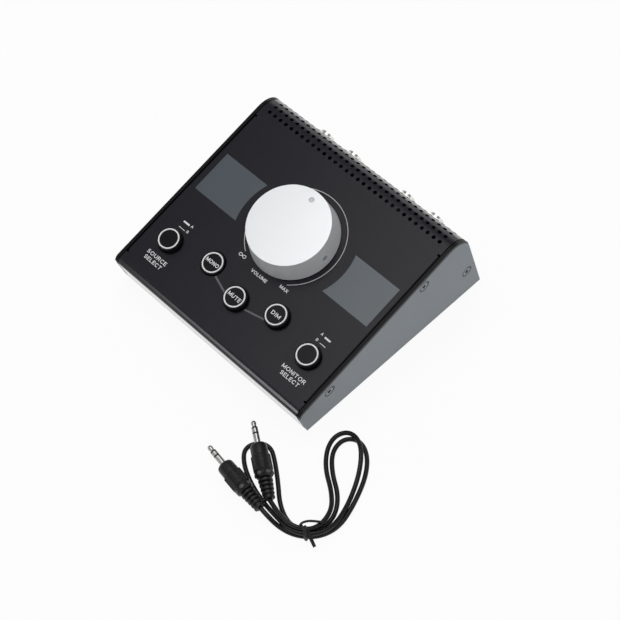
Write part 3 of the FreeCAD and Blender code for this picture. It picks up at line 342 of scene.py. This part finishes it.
def meshed(name, line):
    """A line's tube as a mesh piece."""
    tube = bpy.data.objects.new(name, line)
    bpy.context.collection.objects.link(tube)
    bpy.ops.object.select_all(action="DESELECT")
    tube.select_set(True)
    bpy.context.view_layer.objects.active = tube
    bpy.ops.object.convert(target="MESH")
    tube = bpy.context.object
    tube.name = name
    return tube


def press_on(piece, name, across, along, rise, finish, body):
    """Lay a flat piece on the panel, ink it and let it move with a body."""
    piece.name = name
    piece.matrix_world = PANEL @ Matrix.Translation((across * MM, along * MM, rise * MM))
    bpy.ops.object.transform_apply(location=True, rotation=True, scale=True)
    finish.on(piece)
    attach(piece, body)


def printed_lines(name, strokes, weight, finish, across=0.0, along=0.0, rise=0.0, body="root"):
    """Raised ink along strokes in millimetres, whose square ends stand half a weight proud."""
    line = tube_line(name, weight * MM, rounding=1)
    for stroke in strokes:
        places = [Vector((*place, 0)) for place in stroke]
        looped = (places[0] - places[-1]).length < weight / 10
        if looped:
            places.pop()
        else:
            places[0] += (places[0] - places[1]).normalized() * weight / 2
            places[-1] += (places[-1] - places[-2]).normalized() * weight / 2
        add_run(line, "POLY", [place * MM for place in places], looped)
    piece = meshed(name, line)
    piece.scale.z = INK_DEPTH / (weight * MM)
    bpy.ops.object.transform_apply(location=False, rotation=False, scale=True)
    press_on(piece, name, across, along, rise, finish, body)


def printed_words(name, words, across, along, width, height, weight, rise=0.0, body="root"):
    """Capital letters in a line, centred on a place, as wide and tall overall as given."""
    strokes, pen = [], 0.0
    for letter in words:
        letter_width, letter_strokes = LETTERS[letter]
        strokes += [[(pen + x, y) for x, y in stroke] for stroke in letter_strokes]
        pen += letter_width + LETTER_GAP
    line_width = pen - LETTER_GAP
    wide, tall = (width - weight) / line_width, height - weight
    strokes = [[((x - line_width / 2) * wide, (y - 0.5) * tall) for x, y in stroke]
               for stroke in strokes]
    printed_lines(name, strokes, weight, white_ink, across, along, rise, body)


def printed_field(name, side):
    """A field beside the knob, straight outside and hollowed round the knob inside."""
    field_front, field_rear, field_outside = -13.8, 12.9, 66.4
    hollow_radius, shift = 36.4, 0.25
    bpy.ops.object.select_all(action="DESELECT")
    bpy.ops.mesh.primitive_grid_add(x_subdivisions=1, y_subdivisions=32, size=1.0)
    field = bpy.context.object
    for vertex in field.data.vertices:
        along = field_front + (vertex.co.y + 0.5) * (field_rear - field_front)
        inside = math.sqrt(hollow_radius ** 2 - along ** 2)
        across = field_outside if vertex.co.x > 0 else inside
        vertex.co = ((side * across + shift) * MM, along * MM, 0)
    skin = field.modifiers.new("skin", "SOLIDIFY")
    skin.thickness = INK_DEPTH
    skin.offset = 0
    bpy.ops.object.modifier_apply(modifier="skin")
    bpy.ops.object.mode_set(mode="EDIT")
    bpy.ops.mesh.select_all(action="SELECT")
    bpy.ops.mesh.normals_make_consistent(inside=False)
    bpy.ops.object.mode_set(mode="OBJECT")
    press_on(field, name, 0, 0, 0, slate_ink, "root")


def endless_loop(width, steps=48):
    """The sideways eight that stands for no limit, as one closed stroke."""
    places = []
    for step in range(steps + 1):
        turn = math.tau * step / steps
        squeeze = width / 2 / (1 + math.sin(turn) ** 2)
        places.append((math.cos(turn) * squeeze, math.sin(turn) * math.cos(turn) * squeeze))
    return places


printed_field("print_field_left", -1)
printed_field("print_field_right", 1)
FINE_WEIGHT = 0.42
ARC_RADIUS, ARC_SWEEP, ARC_MIDDLE = 28.98, 146.0, (0.12, 0.68)
volume_arc = bow(0, 0, ARC_RADIUS, ARC_RADIUS, 90 - ARC_SWEEP, 90 + ARC_SWEEP, each=3)
printed_lines("print_volume_arc", [volume_arc], FINE_WEIGHT, arc_ink, *ARC_MIDDLE)
LOOP_WIDTH, LOOP_MIDDLE = 4.8, (-15.5, -26.3)
printed_lines("print_endless", [endless_loop(LOOP_WIDTH)], FINE_WEIGHT, white_ink, *LOOP_MIDDLE)
SMALL_LETTERS = {"height": 1.95, "weight": 0.41}
LARGE_LETTERS = {"height": 2.35, "weight": 0.42}
PANEL_WORDS = (
    ("volume", "VOLUME", 0.3, -29.2, 11.7, SMALL_LETTERS),
    ("max", "MAX", 16.55, -26.1, 5.9, SMALL_LETTERS),
    ("source", "SOURCE", -53.3, -57.5, 14.9, LARGE_LETTERS),
    ("source_select", "SELECT", -53.3, -61.0, 13.1, LARGE_LETTERS),
    ("monitor", "MONITOR", 54.35, -57.7, 16.7, LARGE_LETTERS),
    ("monitor_select", "SELECT", 54.4, -61.1, 13.1, LARGE_LETTERS),
)
for name, words, across, along, width, letters in PANEL_WORDS:
    printed_words(f"print_{name}", words, across, along, width, **letters)
SELECTORS = {"source": (-54.5, -50.4, 2.3), "monitor": (55.4, 51.0, 2.1)}
MARKS = {"a": (-32.3, 1.1), "b": (-36.3, FINE_WEIGHT)}
MARK_LETTERS, LETTER_LIFT = {"width": 1.35, "height": 1.6, "weight": 0.3}, 0.5
for selector, (across, letter_across, half) in SELECTORS.items():
    for mark, (along, weight) in MARKS.items():
        end = half - weight / 2
        printed_lines(f"print_{selector}_mark_{mark}", [[(-end, 0), (end, 0)]], weight, white_ink,
                      across, along)
        printed_words(f"print_{selector}_{mark}", mark.upper(), letter_across,
                      along + LETTER_LIFT, **MARK_LETTERS)
LINKS = {"left": ((-18.3, -44.9), (-8.3, -48.2)), "right": ((8.3, -48.4), (19.9, -45.8))}
LINK_WEIGHT = 1.2
for side, stroke in LINKS.items():
    printed_lines(f"print_link_{side}", [stroke], LINK_WEIGHT, grey_ink)

# The boards inside
# Two green glass-fibre boards: one hangs on brass standoffs under the cover, and one stands inside
# its rear face and carries the jacks. Through the vents they show only as dim shapes.


def worn_metal(name, dull, bright, roughness, metallic=1.0):
    """Bare metal with faint tool marks and cloudy tarnish."""
    metal = Finish(name, Metallic=metallic)
    tarnish = metal.place.noise(160.0, 3.0)
    marks = metal.place.noise(3200.0, 1.0)
    metal.vary(Base_Color=tarnish.mix(dull, bright), Roughness=tarnish * 0.12 + roughness,
               Normal=marks.bump(0.00001))
    return metal


solder_mask = Finish("solder_mask", Roughness=0.35)
ripples = solder_mask.place.noise(260.0, 0.0)
copper = ripples.math("SINE", ripples * 60.0) > 0.4
solder_mask.vary(Base_Color=copper.mix((0.01, 0.07, 0.035), (0.018, 0.11, 0.055)))
solder_mask.on(NODES["control_board"], NODES["jack_board"])
brass = worn_metal("turned_brass", (0.5, 0.36, 0.14), (0.68, 0.52, 0.24), 0.26)
brass.on(NODES["board_standoffs"])
zinc = worn_metal("zinc_plate", (0.45, 0.46, 0.47), (0.6, 0.61, 0.62), 0.3)
zinc.on(NODES["board_screws"])
moulded = grained("moulded_black", 1500.0, (0.009, 0.009, 0.01), (0.014, 0.014, 0.015),
                  depth=0.00003, Roughness=0.45)
moulded.on(NODES["resistors"], NODES["link_header"])

# The jacks
# Moulded quarter-inch sockets, and one mini socket between their rows. Each one's nickel-plated
# threaded ferrule goes out through the rear face, where a nickel nut over a washer holds it.
REAR_FACE = 58.8
socket_black = Finish("socket_black")
ferrule = from_knob(socket_black.place).part(1) > REAR_FACE * MM
socket_grain = socket_black.place.noise(1500.0, 2.0)
socket_body = socket_grain.mix((0.009, 0.009, 0.01), (0.014, 0.014, 0.015))
socket_plating = socket_grain.mix((0.62, 0.61, 0.58), (0.78, 0.77, 0.74))
socket_black.vary(Base_Color=ferrule.mix(socket_body, socket_plating), Metallic=ferrule,
                  Roughness=0.45 - ferrule * 0.25, Normal=socket_grain.bump(0.00002))
for name, piece in NODES.items():
    if name.startswith(("jack_left", "jack_right")) or name == "mini_jack":
        socket_black.on(piece)
nickel = worn_metal("nickel_plate", (0.72, 0.7, 0.67), (0.85, 0.84, 0.81), 0.2)
nickel.on(NODES["jack_nuts"], NODES["jack_washers"], NODES["mini_jack_nut"])
tin = worn_metal("tin_plate", (0.5, 0.5, 0.49), (0.66, 0.66, 0.64), 0.28)
tin.on(NODES["jack_contacts"])

# The push buttons
# Round black caps on white plungers, each with a white ring printed just inside its edge. The
# middle three are lettered, and mono is latched down. Under each plunger stands a coil spring.
LATCHED, BUTTON_TRAVEL = "mono", 2.5
BUTTON_WORDS = {"source": ("", 0), "mono": ("MONO", 9.2), "mute": ("MUTE", 9.0),
                "dim": ("DIM", 6.2), "monitor": ("", 0)}
RING_RADIUS, RING_STROKE = 5.77, 0.85
SPRING_RADIUS, SPRING_WIRE, SPRING_TURNS, SPRING_STEPS = 2.35, 0.3, 3.5, 84
SPRING_FLAT_END = 0.22
cap_black = grained("cap_black", 1900.0, (0.0045, 0.0042, 0.0065), (0.007, 0.0065, 0.009),
                    depth=0.00002, rough=(0.26, 0.34), Specular_IOR_Level=0.14)
plunger_white = Finish("plunger_white", Roughness=0.4)
plunger_grain = plunger_white.place.noise(1200.0)
plunger_white.vary(Base_Color=plunger_grain.mix((0.72, 0.72, 0.7), (0.78, 0.78, 0.76)))
spring_wire = worn_metal("spring_wire", (0.4, 0.4, 0.4), (0.55, 0.55, 0.55), 0.3)


def in_panel(node):
    """A node's middle across and along the panel and its lowest and highest place, in mm."""
    spots = [PANEL.inverted() @ vertex.co / MM for vertex in NODES[node].data.vertices]
    lows, highs = ([pick(spot[way] for spot in spots) for way in range(3)] for pick in (min, max))
    return (lows[0] + highs[0]) / 2, (lows[1] + highs[1]) / 2, lows[2], highs[2]


def printed_ring(name, across, along, rise, body):
    """A ring of ink on a cap."""
    bpy.ops.object.select_all(action="DESELECT")
    bpy.ops.mesh.primitive_torus_add(major_radius=RING_RADIUS * MM, major_segments=120,
                                     minor_radius=RING_STROKE / 2 * MM, minor_segments=8)
    ring = bpy.context.object
    ring.scale.z = INK_DEPTH / (RING_STROKE * MM)
    press_on(ring, name, across, along, rise, white_ink, body)


def coil_spring(name, across, along, foot, top):
    """A spring of round wire between two heights, whose end turns lie flat."""
    places = []
    for step in range(SPRING_STEPS + 1):
        way = step / SPRING_STEPS
        turn = math.tau * SPRING_TURNS * way
        climb = min(1, max(0, (way - SPRING_FLAT_END) / (1 - 2 * SPRING_FLAT_END)))
        spot = (across + SPRING_RADIUS * math.cos(turn), along + SPRING_RADIUS * math.sin(turn),
                foot + SPRING_WIRE / 2 + climb * (top - foot - SPRING_WIRE))
        places.append(PANEL @ (Vector(spot) * MM))
    line = tube_line(name, SPRING_WIRE * MM, rounding=2)
    add_run(line, "POLY", places)
    return meshed(name, line)


for button, (words, width) in BUTTON_WORDS.items():
    cap_black.on(NODES[f"button_{button}"])
    plunger_white.on(NODES[f"plunger_{button}"])
    moulded.on(NODES[f"switch_{button}"])
    across, along, foot, top = in_panel(f"spring_{button}")
    spring = coil_spring(f"{button}_coil_spring", across, along, foot, top)
    spring_wire.on(spring)
    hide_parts(f"spring_{button}")
    if button == LATCHED:
        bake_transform(spring)
    else:
        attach(spring, "root")
        1 - BUTTON_TRAVEL / (top - foot)
        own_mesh(spring)
    across, along, foot, top = in_panel(f"button_{button}")
    printed_ring(f"print_{button}_ring", across, along, top, f"{button}_button")
    if words:
        printed_words(f"print_{button}_words", words, across, along, width, rise=top,
                      body=f"{button}_button", **LARGE_LETTERS)

# The volume knob
# A turned aluminium cup with fine circles round its bright flat top, a brushed greyer side and a
# dimple for a pointer. A black set screw, reached through the side, clamps it on the shaft of the
# pot, which a nut holds under the cover.
TOP_EDGE = 15.6
SIDE_BRUSHING = (60.0, 60.0, 2600.0)
knob_metal = Finish("spun_aluminium")
on_knob = from_knob(knob_metal.place)
flat_place = on_knob.node("ShaderNodeVectorMath", {0: on_knob, 1: (1, 1, 0)},
                          {"operation": "MULTIPLY"})
from_axis = flat_place.node("ShaderNodeVectorMath", {0: flat_place}, {"operation": "LENGTH"},
                            output=1)
circles = from_axis.node("ShaderNodeTexNoise", {"W": from_axis, "Scale": 5200.0, "Detail": 3.0},
                         {"noise_dimensions": "1D"})
streaks = on_knob.node("ShaderNodeMapping", {"Vector": on_knob, "Scale": SIDE_BRUSHING})
brushing = streaks.noise(1.0, 4.0)
on_top = on_knob.part(2) > TOP_EDGE * MM
knob_metal.vary(Base_Color=on_top.mix(brushing.mix((0.67, 0.685, 0.7), (0.78, 0.795, 0.81)),
                                      circles.mix((0.79, 0.805, 0.82), (0.85, 0.865, 0.88))),
                Metallic=on_top * 0.35 + 0.3,
                Roughness=circles * 0.08 + 0.34,
                Normal=circles.bump(0.00002))
knob_metal.on(NODES["knob_shell"])
screw_black = worn_metal("screw_black", (0.006, 0.006, 0.007), (0.012, 0.012, 0.013), 0.4,
                         metallic=0.2)
screw_black.on(NODES["knob_set_screw"])
moulded.on(NODES["pot_body"], NODES["knob_hub"])
brass.on(NODES["pot_shaft"])
nickel.on(NODES["pot_nut"], NODES["pot_washer"])

# The tray
# The floor and the two grey sides in one folded steel sheet, with a satin grey coat that shows a
# very fine orange peel. Its sides stand outside the cover's folded flanges.
grey_coat = Finish("coat_grey")
peel = grey_coat.place.noise(700.0, 2.0)
grey_cloud = grey_coat.place.noise(14.0, 2.0)
grey_coat.vary(Base_Color=grey_cloud.mix((0.155, 0.181, 0.206), (0.175, 0.203, 0.23)),
               Roughness=peel * 0.1 + 0.36, Normal=peel.bump(0.00003))
grey_coat.on(NODES["base_tray"])

# The rims and the feet
# Black rims close the gap over each side's top edge, and four rubber feet are pushed through the
# tray's floor.
rim_black = grained("rim_black", 2200.0, (0.005, 0.005, 0.006), (0.008, 0.008, 0.009),
                    depth=0.00002, Roughness=0.35, Specular_IOR_Level=0.12)
rim_black.on(NODES["edge_trim_left"], NODES["edge_trim_right"])
foot_rubber = grained("foot_rubber", 900.0, (0.012, 0.012, 0.012), (0.025, 0.025, 0.025),
                      depth=0.00008, detail=3.0, Roughness=0.8)
foot_rubber.on(NODES["rubber_feet"])

# The side screws
# Three low grey screws a side, each with a hexagon socket, go into rivet nuts in the cover's
# flanges. Each one sits a little high in its clearance hole, over a black disc that is painted
# shadow in the hole, and a black hexagon in its socket is painted shade.
SIDE_FACE = 73.0
SCREW_PLACES = ((-51.6, -7.8), (23.9, -7.0), (52.1, -39.4))
SCREW_PROFILE = ((-7.0, 1.5), (-0.05, 1.5), (0.0, 2.7), (0.1, 2.7), (0.17, 2.4), (0.2, 2.1),
                 (0.2, 1.3), (-0.3, 1.25))
SHADE_DISC_PROFILE = ((0.0, 3.7), (0.03, 3.7), (0.05, 3.55))
SOCKET_FLOOR_PROFILE = ((-0.28, 1.2), (0.05, 1.2))
SOCKET_REACH, SCREW_SHIFT = 1.35, (-0.35, 0.75)


def turned(name, profile, sides):
    """A solid turned about Z: a disc at the profile's first point, drawn out ring by ring."""
    (height, radius), *rings = profile
    bpy.ops.object.select_all(action="DESELECT")
    bpy.ops.mesh.primitive_circle_add(vertices=sides, radius=radius * MM, fill_type="NGON",
                                      location=(0, 0, height * MM))
    piece = bpy.context.object
    piece.name = name
    bpy.ops.object.mode_set(mode="EDIT")
    bpy.ops.mesh.select_all(action="SELECT")
    for next_height, next_radius in rings:
        rise = (next_height - height) * MM
        bpy.ops.mesh.extrude_region_move(TRANSFORM_OT_translate={"value": (0, 0, rise)})
        grow = next_radius / radius
        bpy.ops.transform.resize(value=(grow, grow, 1))
        height, radius = next_height, next_radius
    bpy.ops.mesh.select_all(action="SELECT")
    bpy.ops.mesh.normals_make_consistent(inside=False)
    bpy.ops.object.mode_set(mode="OBJECT")
    bpy.ops.object.transform_apply(location=True, rotation=False, scale=False)
    return piece


def join(pieces):
    bpy.ops.object.select_all(action="DESELECT")
    for piece in pieces:
        piece.select_set(True)
    bpy.context.view_layer.objects.active = pieces[0]
    bpy.ops.object.join()
    return pieces[0]


def smoothed(piece, crease):
    """Shade a piece smoothly but for the edges that turn by more than a crease in degrees."""
    bpy.ops.object.select_all(action="DESELECT")
    piece.select_set(True)
    bpy.context.view_layer.objects.active = piece
    bpy.ops.object.shade_smooth_by_angle(angle=math.radians(crease))


def six_turned(name, profile, shift, finish):
    """The same turned piece at each side screw's place, its sockets squeezed to hexagons."""
    pieces = []
    for side in (-1, 1):
        for along, out in SCREW_PLACES:
            piece = turned(name, profile, sides=48)
            for vertex in piece.data.vertices:
                flat = Vector((vertex.co.x, vertex.co.y))
                if flat.length < SOCKET_REACH * MM:
                    off_corner = math.atan2(flat.y, flat.x) % (math.pi / 3) - math.pi / 6
                    flat *= math.cos(math.pi / 6) / math.cos(off_corner)
                    vertex.co.x, vertex.co.y = flat
            spot = Vector((side * SIDE_FACE, along + shift[0], out + shift[1])) * MM
            place = PANEL @ Matrix.Translation(spot)
            piece.data.transform(place @ Matrix.Rotation(side * math.pi / 2, 4, "Y"))
            pieces.append(piece)
    whole = join(pieces)
    smoothed(whole, crease=30)
    finish.on(whole)
    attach(whole, "root")
    return whole


screw_grey = worn_metal("zinc_grey", (0.17, 0.195, 0.22), (0.24, 0.27, 0.3), 0.4, metallic=0.2)
# Black for painted shade: the shadow in each screw's clearance hole and the shade deep in each
# socket.
screw_shade_black = grained("screw_shade_black", 1300.0, (0.004, 0.004, 0.005), (0.009, 0.009, 0.01),
                     depth=0.00002, Roughness=0.5)
side_screws = six_turned("side_screw_heads", SCREW_PROFILE, SCREW_SHIFT, screw_grey)
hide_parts("side_screws")
# A black disc round each head is painted shadow in its clearance hole, and a black hexagon in each
# socket is painted shade.
six_turned("side_screw_shade_discs", SHADE_DISC_PROFILE, (0, 0), screw_shade_black)
six_turned("side_screw_socket_shade", SOCKET_FLOOR_PROFILE, SCREW_SHIFT, screw_shade_black)
zinc.on(NODES["cover_inserts"])

# The patch lead
# A half-metre stereo lead in a limp black jacket, folded into loops and gathered by a wire tie. Its
# two moulded mini plugs lie side by side, one flat on the desk and one across a loop of the lead.
# The lead's thickness and route are in metres.
LEAD_DIAMETER = 0.0026
LEAD_ROUTE = (
    (0.0894, -0.1182, 0.0053), (0.0954, -0.1190, 0.0053), (0.1034, -0.1181, 0.0019),
    (0.1122, -0.1154, 0.0014), (0.1209, -0.1082, 0.0014), (0.1248, -0.0966, 0.0014),
    (0.1215, -0.0825, 0.0014), (0.1145, -0.0655, 0.0014), (0.1056, -0.0548, 0.0014),
    (0.0962, -0.0518, 0.0014), (0.0899, -0.0573, 0.0014), (0.0910, -0.0669, 0.0014),
    (0.0994, -0.0758, 0.0014), (0.1122, -0.0836, 0.0014), (0.1192, -0.0939, 0.0014),
    (0.1192, -0.1046, 0.0021), (0.1145, -0.1113, 0.0022), (0.1043, -0.1131, 0.0014),
    (0.0939, -0.1087, 0.0014), (0.0839, -0.1001, 0.0014), (0.0740, -0.0926, 0.0014),
    (0.0664, -0.0880, 0.0014), (0.0593, -0.0903, 0.0014), (0.0565, -0.0983, 0.0014),
    (0.0627, -0.1049, 0.0014), (0.0733, -0.1102, 0.0014), (0.0858, -0.1136, 0.0016),
    (0.0980, -0.1152, 0.0026), (0.1099, -0.1164, 0.0044), (0.1202, -0.1093, 0.0049),
    (0.1234, -0.0990, 0.0040), (0.1198, -0.0855, 0.0018), (0.1131, -0.0708, 0.0014),
    (0.1067, -0.0609, 0.0047), (0.0990, -0.0538, 0.0047), (0.0905, -0.0523, 0.0034),
    (0.0855, -0.0579, 0.0014), (0.0874, -0.0670, 0.0014), (0.0956, -0.0769, 0.0014),
    (0.1082, -0.0846, 0.0018), (0.1168, -0.0938, 0.0042), (0.1185, -0.1063, 0.0050),
    (0.1117, -0.1137, 0.0063), (0.1002, -0.1150, 0.0061), (0.0891, -0.1114, 0.0050),
)
lead_line = tube_line("patch_lead", LEAD_DIAMETER, rounding=5)
add_run(lead_line, "NURBS", LEAD_ROUTE)
patch_lead = bpy.data.objects.new("patch_lead", lead_line)
bpy.context.collection.objects.link(patch_lead)
jacket = grained("jacket_black", 1400.0, (0.004, 0.004, 0.0048), (0.008, 0.008, 0.0092),
                 depth=0.00003, detail=3.0, rough=(0.26, 0.36), Specular_IOR_Level=0.28)
jacket.on(patch_lead)
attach(patch_lead, "root")
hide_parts("lead_cord")

# The lead's plugs
# Each mini plug has three nickel-plated contacts on a black insulator, in a moulded black handle
# with a fluted grip, a ring of thumb pads and a strain relief of five soft rings.
PLUG_NOSES = {"a": Vector((0.0613, -0.0930, 0.0075)),
              "b": 2 * Vector(LEAD_ROUTE[0]) - Vector(LEAD_ROUTE[1])}
PLUG_ENDS = {"a": Vector(LEAD_ROUTE[-1]), "b": Vector(LEAD_ROUTE[0])}
HANDLE_LENGTH = 20.0
GRIP_START, GRIP_END, GRIP_RIB, FLUTE_DEPTH = 7.5, 15.6, 0.11, 0.12
RELIEF_RINGS, RELIEF_PITCH, RELIEF_RING, RELIEF_CORE = 5, 2.4, 1.75, 2.5
RELIEF_CREST, CREST_STEP, CREST_EDGE, CREST_DROP = 3.95, 0.2, 0.08, 0.35
HANDLE_PROFILE = ((0.0, 2.7), (0.12, 3.4), (0.45, 4.0), (1.0, 4.4), (1.9, 4.6), (7.0, 4.65),
                  (7.25, 5.05), (GRIP_START, 5.25), (GRIP_END, 5.25), (15.85, 5.15), (16.1, 4.98),
                  (18.3, 4.92), (19.2, 4.4), (19.8, 3.8), (HANDLE_LENGTH, RELIEF_CORE))
THUMB_PADS, PAD_HEIGHT, PAD_RADIUS, PAD_SHAPE = 6, 17.9, 4.75, (0.5, 1.35, 1.05)
THUMB_TURN = {"a": 0.0, "b": 10.0}
TIP_PROFILE = ((-13.7, 0.6), (-13.6, 0.95), (-13.2, 1.25), (-12.5, 1.45), (-12.1, 1.47),
               (-11.7, 1.4), (-10.9, 1.15), (-10.5, 1.15), (-10.2, 1.5), (-9.8, 1.6))
RING_PROFILE = ((-9.1, 1.55), (-9.0, 1.75), (-6.7, 1.75), (-6.6, 1.55))
SLEEVE_PROFILE = ((-5.9, 1.55), (-5.8, 1.75), (0.6, 1.75))
INSULATOR_PROFILE = ((-9.85, 1.4), (-9.8, 1.66), (-5.85, 1.66), (-5.8, 1.4))


def relief_profile():
    """The soft rings behind a handle, each a little smaller than the one before."""
    for ring in range(RELIEF_RINGS):
        end = HANDLE_LENGTH + (ring + 1) * RELIEF_PITCH
        start = end - RELIEF_RING
        crest = RELIEF_CREST - ring * CREST_STEP
        yield from ((start, RELIEF_CORE), (start + CREST_EDGE, crest - CREST_DROP),
                    (start + CREST_DROP, crest), (end - CREST_DROP, crest),
                    (end - CREST_EDGE, crest - CREST_DROP), (end, RELIEF_CORE))


def thumb_pad(name, turn):
    """A smooth oval pad on the handle's collar, turned round its axis."""
    bpy.ops.object.select_all(action="DESELECT")
    bpy.ops.mesh.primitive_uv_sphere_add(segments=20, ring_count=12, radius=MM)
    pad = bpy.context.object
    pad.name = name
    pad.scale = PAD_SHAPE
    pad.location = (PAD_RADIUS * MM, 0, PAD_HEIGHT * MM)
    bpy.ops.object.transform_apply(location=True, rotation=False, scale=True)
    pad.data.transform(Matrix.Rotation(turn, 4, "Z"))
    return pad


def moulded_handle(name):
    """A turned handle with its relief, whose grip has a flute sunk into each of its facets."""
    handle = turned(name, (*HANDLE_PROFILE, *relief_profile()), sides=60)
    bpy.ops.object.mode_set(mode="EDIT")
    bpy.ops.mesh.select_mode(type="FACE")
    bpy.ops.mesh.select_all(action="DESELECT")
    bpy.ops.object.mode_set(mode="OBJECT")
    for face in handle.data.polygons:
        face.select = GRIP_START * MM < face.center.z < GRIP_END * MM
    bpy.ops.object.mode_set(mode="EDIT")
    bpy.ops.mesh.inset(thickness=GRIP_RIB * MM, depth=-FLUTE_DEPTH * MM, use_individual=True)
    bpy.ops.mesh.select_mode(type="VERT")
    bpy.ops.object.mode_set(mode="OBJECT")
    return handle


def along_plug(piece, plug, finish, slot, *nodes):
    """Lay a piece drawn from the nose upwards on its plug's axis."""
    axis = (PLUG_ENDS[plug] - PLUG_NOSES[plug]).normalized()
    length = (HANDLE_LENGTH + RELIEF_RINGS * RELIEF_PITCH) * MM
    turn = Vector((0, 0, 1)).rotation_difference(axis).to_matrix().to_4x4()
    piece.data.transform(Matrix.Translation(PLUG_ENDS[plug] - axis * length) @ turn)
    smoothed(piece, crease=35)
    finish.on(piece)
    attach(piece, "root")
    if nodes:
        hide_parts(*nodes)
    return piece


plug_black = grained("plug_black", 1600.0, (0.0055, 0.0055, 0.0065), (0.0095, 0.0095, 0.0105),
                     depth=0.00002, detail=3.0, rough=(0.3, 0.42), Specular_IOR_Level=0.32)
# The thumb pads' lighter grey is a painted highlight on their raised tops.
pad_highlight_grey = grained("pad_highlight_grey", 700.0, (0.05, 0.05, 0.053), (0.11, 0.11, 0.115),
                   depth=0.00003, detail=3.0, Roughness=0.4)
pin_nickel = worn_metal("pin_nickel", (0.36, 0.355, 0.345), (0.46, 0.455, 0.445), 0.12)
on_the_lead = []
for plug in ("a", "b"):
    handle = moulded_handle(f"plug_{plug}_handle")
    pads = join([thumb_pad(f"plug_{plug}_thumb_pads",
                           math.radians(THUMB_TURN[plug]) + math.tau * pad / THUMB_PADS)
                 for pad in range(THUMB_PADS)])
    contacts = join([turned(f"plug_{plug}_contacts", TIP_PROFILE, sides=32),
                     turned(f"plug_{plug}_ring_contact", RING_PROFILE, sides=32),
                     turned(f"plug_{plug}_sleeve_contact", SLEEVE_PROFILE, sides=32)])
    insulator = turned(f"plug_{plug}_insulator", INSULATOR_PROFILE, sides=32)
    on_the_lead += [along_plug(handle, plug, plug_black, "lead_black", f"plug_{plug}_body"),
                    along_plug(pads, plug, pad_highlight_grey, "lead_black"),
                    along_plug(contacts, plug, pin_nickel, "pin_metal", f"plug_{plug}_contact"),
                    along_plug(insulator, plug, plug_black, "lead_black")]

# The wire tie
# A soft black plastic-coated wire, wound twice round the gathered lead, with one doubled tail and a
# long end that springs back over the loops.
TIE_PLACE = Vector((0.1150, -0.1114, 0))
TIE_TURN = 37.7
WIRE_DIAMETER = 1.3
WRAP_OUTLINE = ((-3.3, 2.1, 1.1), (-3.3, 5.2, 1.35), (-2.2, 7.6, 1.2), (1.8, 7.6, 1.2),
                (3.0, 5.2, 1.2), (3.0, 2.1, 0.9), (2.2, 0.33, 0.45), (-2.4, 0.33, 0.45))
WRAPS = ((30, -0.7, 0.0, 1.14, 0.0), (8, 0.2, -0.45, 0.86, 0.5))
LOOSE_ABOVE = 5
LONG_END = ((112.2, -112.4, 7.1), (111.2, -110.8, 7.7), (112.6, -107.4, 7.5),
            (115.1, -104.6, 7.0), (118.6, -102.0, 6.8))
TAIL_START, TAIL_END = Vector((115.7, -110.9, 7.9)), Vector((124.3, -113.6, 3.4))
TAIL_PITCH, TAIL_STEPS, TWIST_RADIUS = 60.0, 12, 0.45
STRAND_PHASE, STRAND_THICKNESS = -0.5, 0.85
tie_line = tube_line("twist_tie", WIRE_DIAMETER * MM, rounding=4, steps=8)


def wire(places, closed=False, thickness=1.0):
    """A run of the tie's wire along places in millimetres, some with a thickness of their own."""
    metres = [[way * MM for way in place[:3]] for place in places]
    run = add_run(tie_line, "NURBS", metres, closed)
    for point, place in zip(run.points, places):
        point.radius = place[3] if len(place) > 3 else thickness


for slant, shift, inset, stretch, loose in WRAPS:
    spin = Matrix.Rotation(math.radians(TIE_TURN + slant), 3, "Z")
    wrap = []
    for y, z, thickness in WRAP_OUTLINE:
        around = Vector((shift, y * stretch + inset, 0))
        spot = TIE_PLACE / MM + spin @ around
        wrap.append((spot.x, spot.y, z + (loose if z > LOOSE_ABOVE else 0), thickness))
    wire(wrap, closed=True)
wire(LONG_END)
tail_axis = TAIL_END - TAIL_START
tail_side = tail_axis.cross(Vector((0, 0, 1))).normalized()
tail_up = tail_side.cross(tail_axis).normalized()
for phase in (STRAND_PHASE, STRAND_PHASE + math.pi):
    strand = []
    for step in range(TAIL_STEPS + 1):
        way = step / TAIL_STEPS
        twist = phase + math.tau * way * tail_axis.length / TAIL_PITCH
        spot = TAIL_START + tail_axis * way
        spot += (tail_side * math.cos(twist) + tail_up * math.sin(twist)) * TWIST_RADIUS
        strand.append(tuple(spot))
    wire(strand, thickness=STRAND_THICKNESS)
twist_tie = meshed("twist_tie", tie_line)
smoothed(twist_tie, crease=50)
tie_black = grained("tie_black", 1100.0, (0.008, 0.008, 0.01), (0.016, 0.016, 0.019),
                    depth=0.00003, Roughness=0.5, Specular_IOR_Level=0.35)
tie_black.on(twist_tie)
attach(twist_tie, "root")
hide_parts("cable_tie")
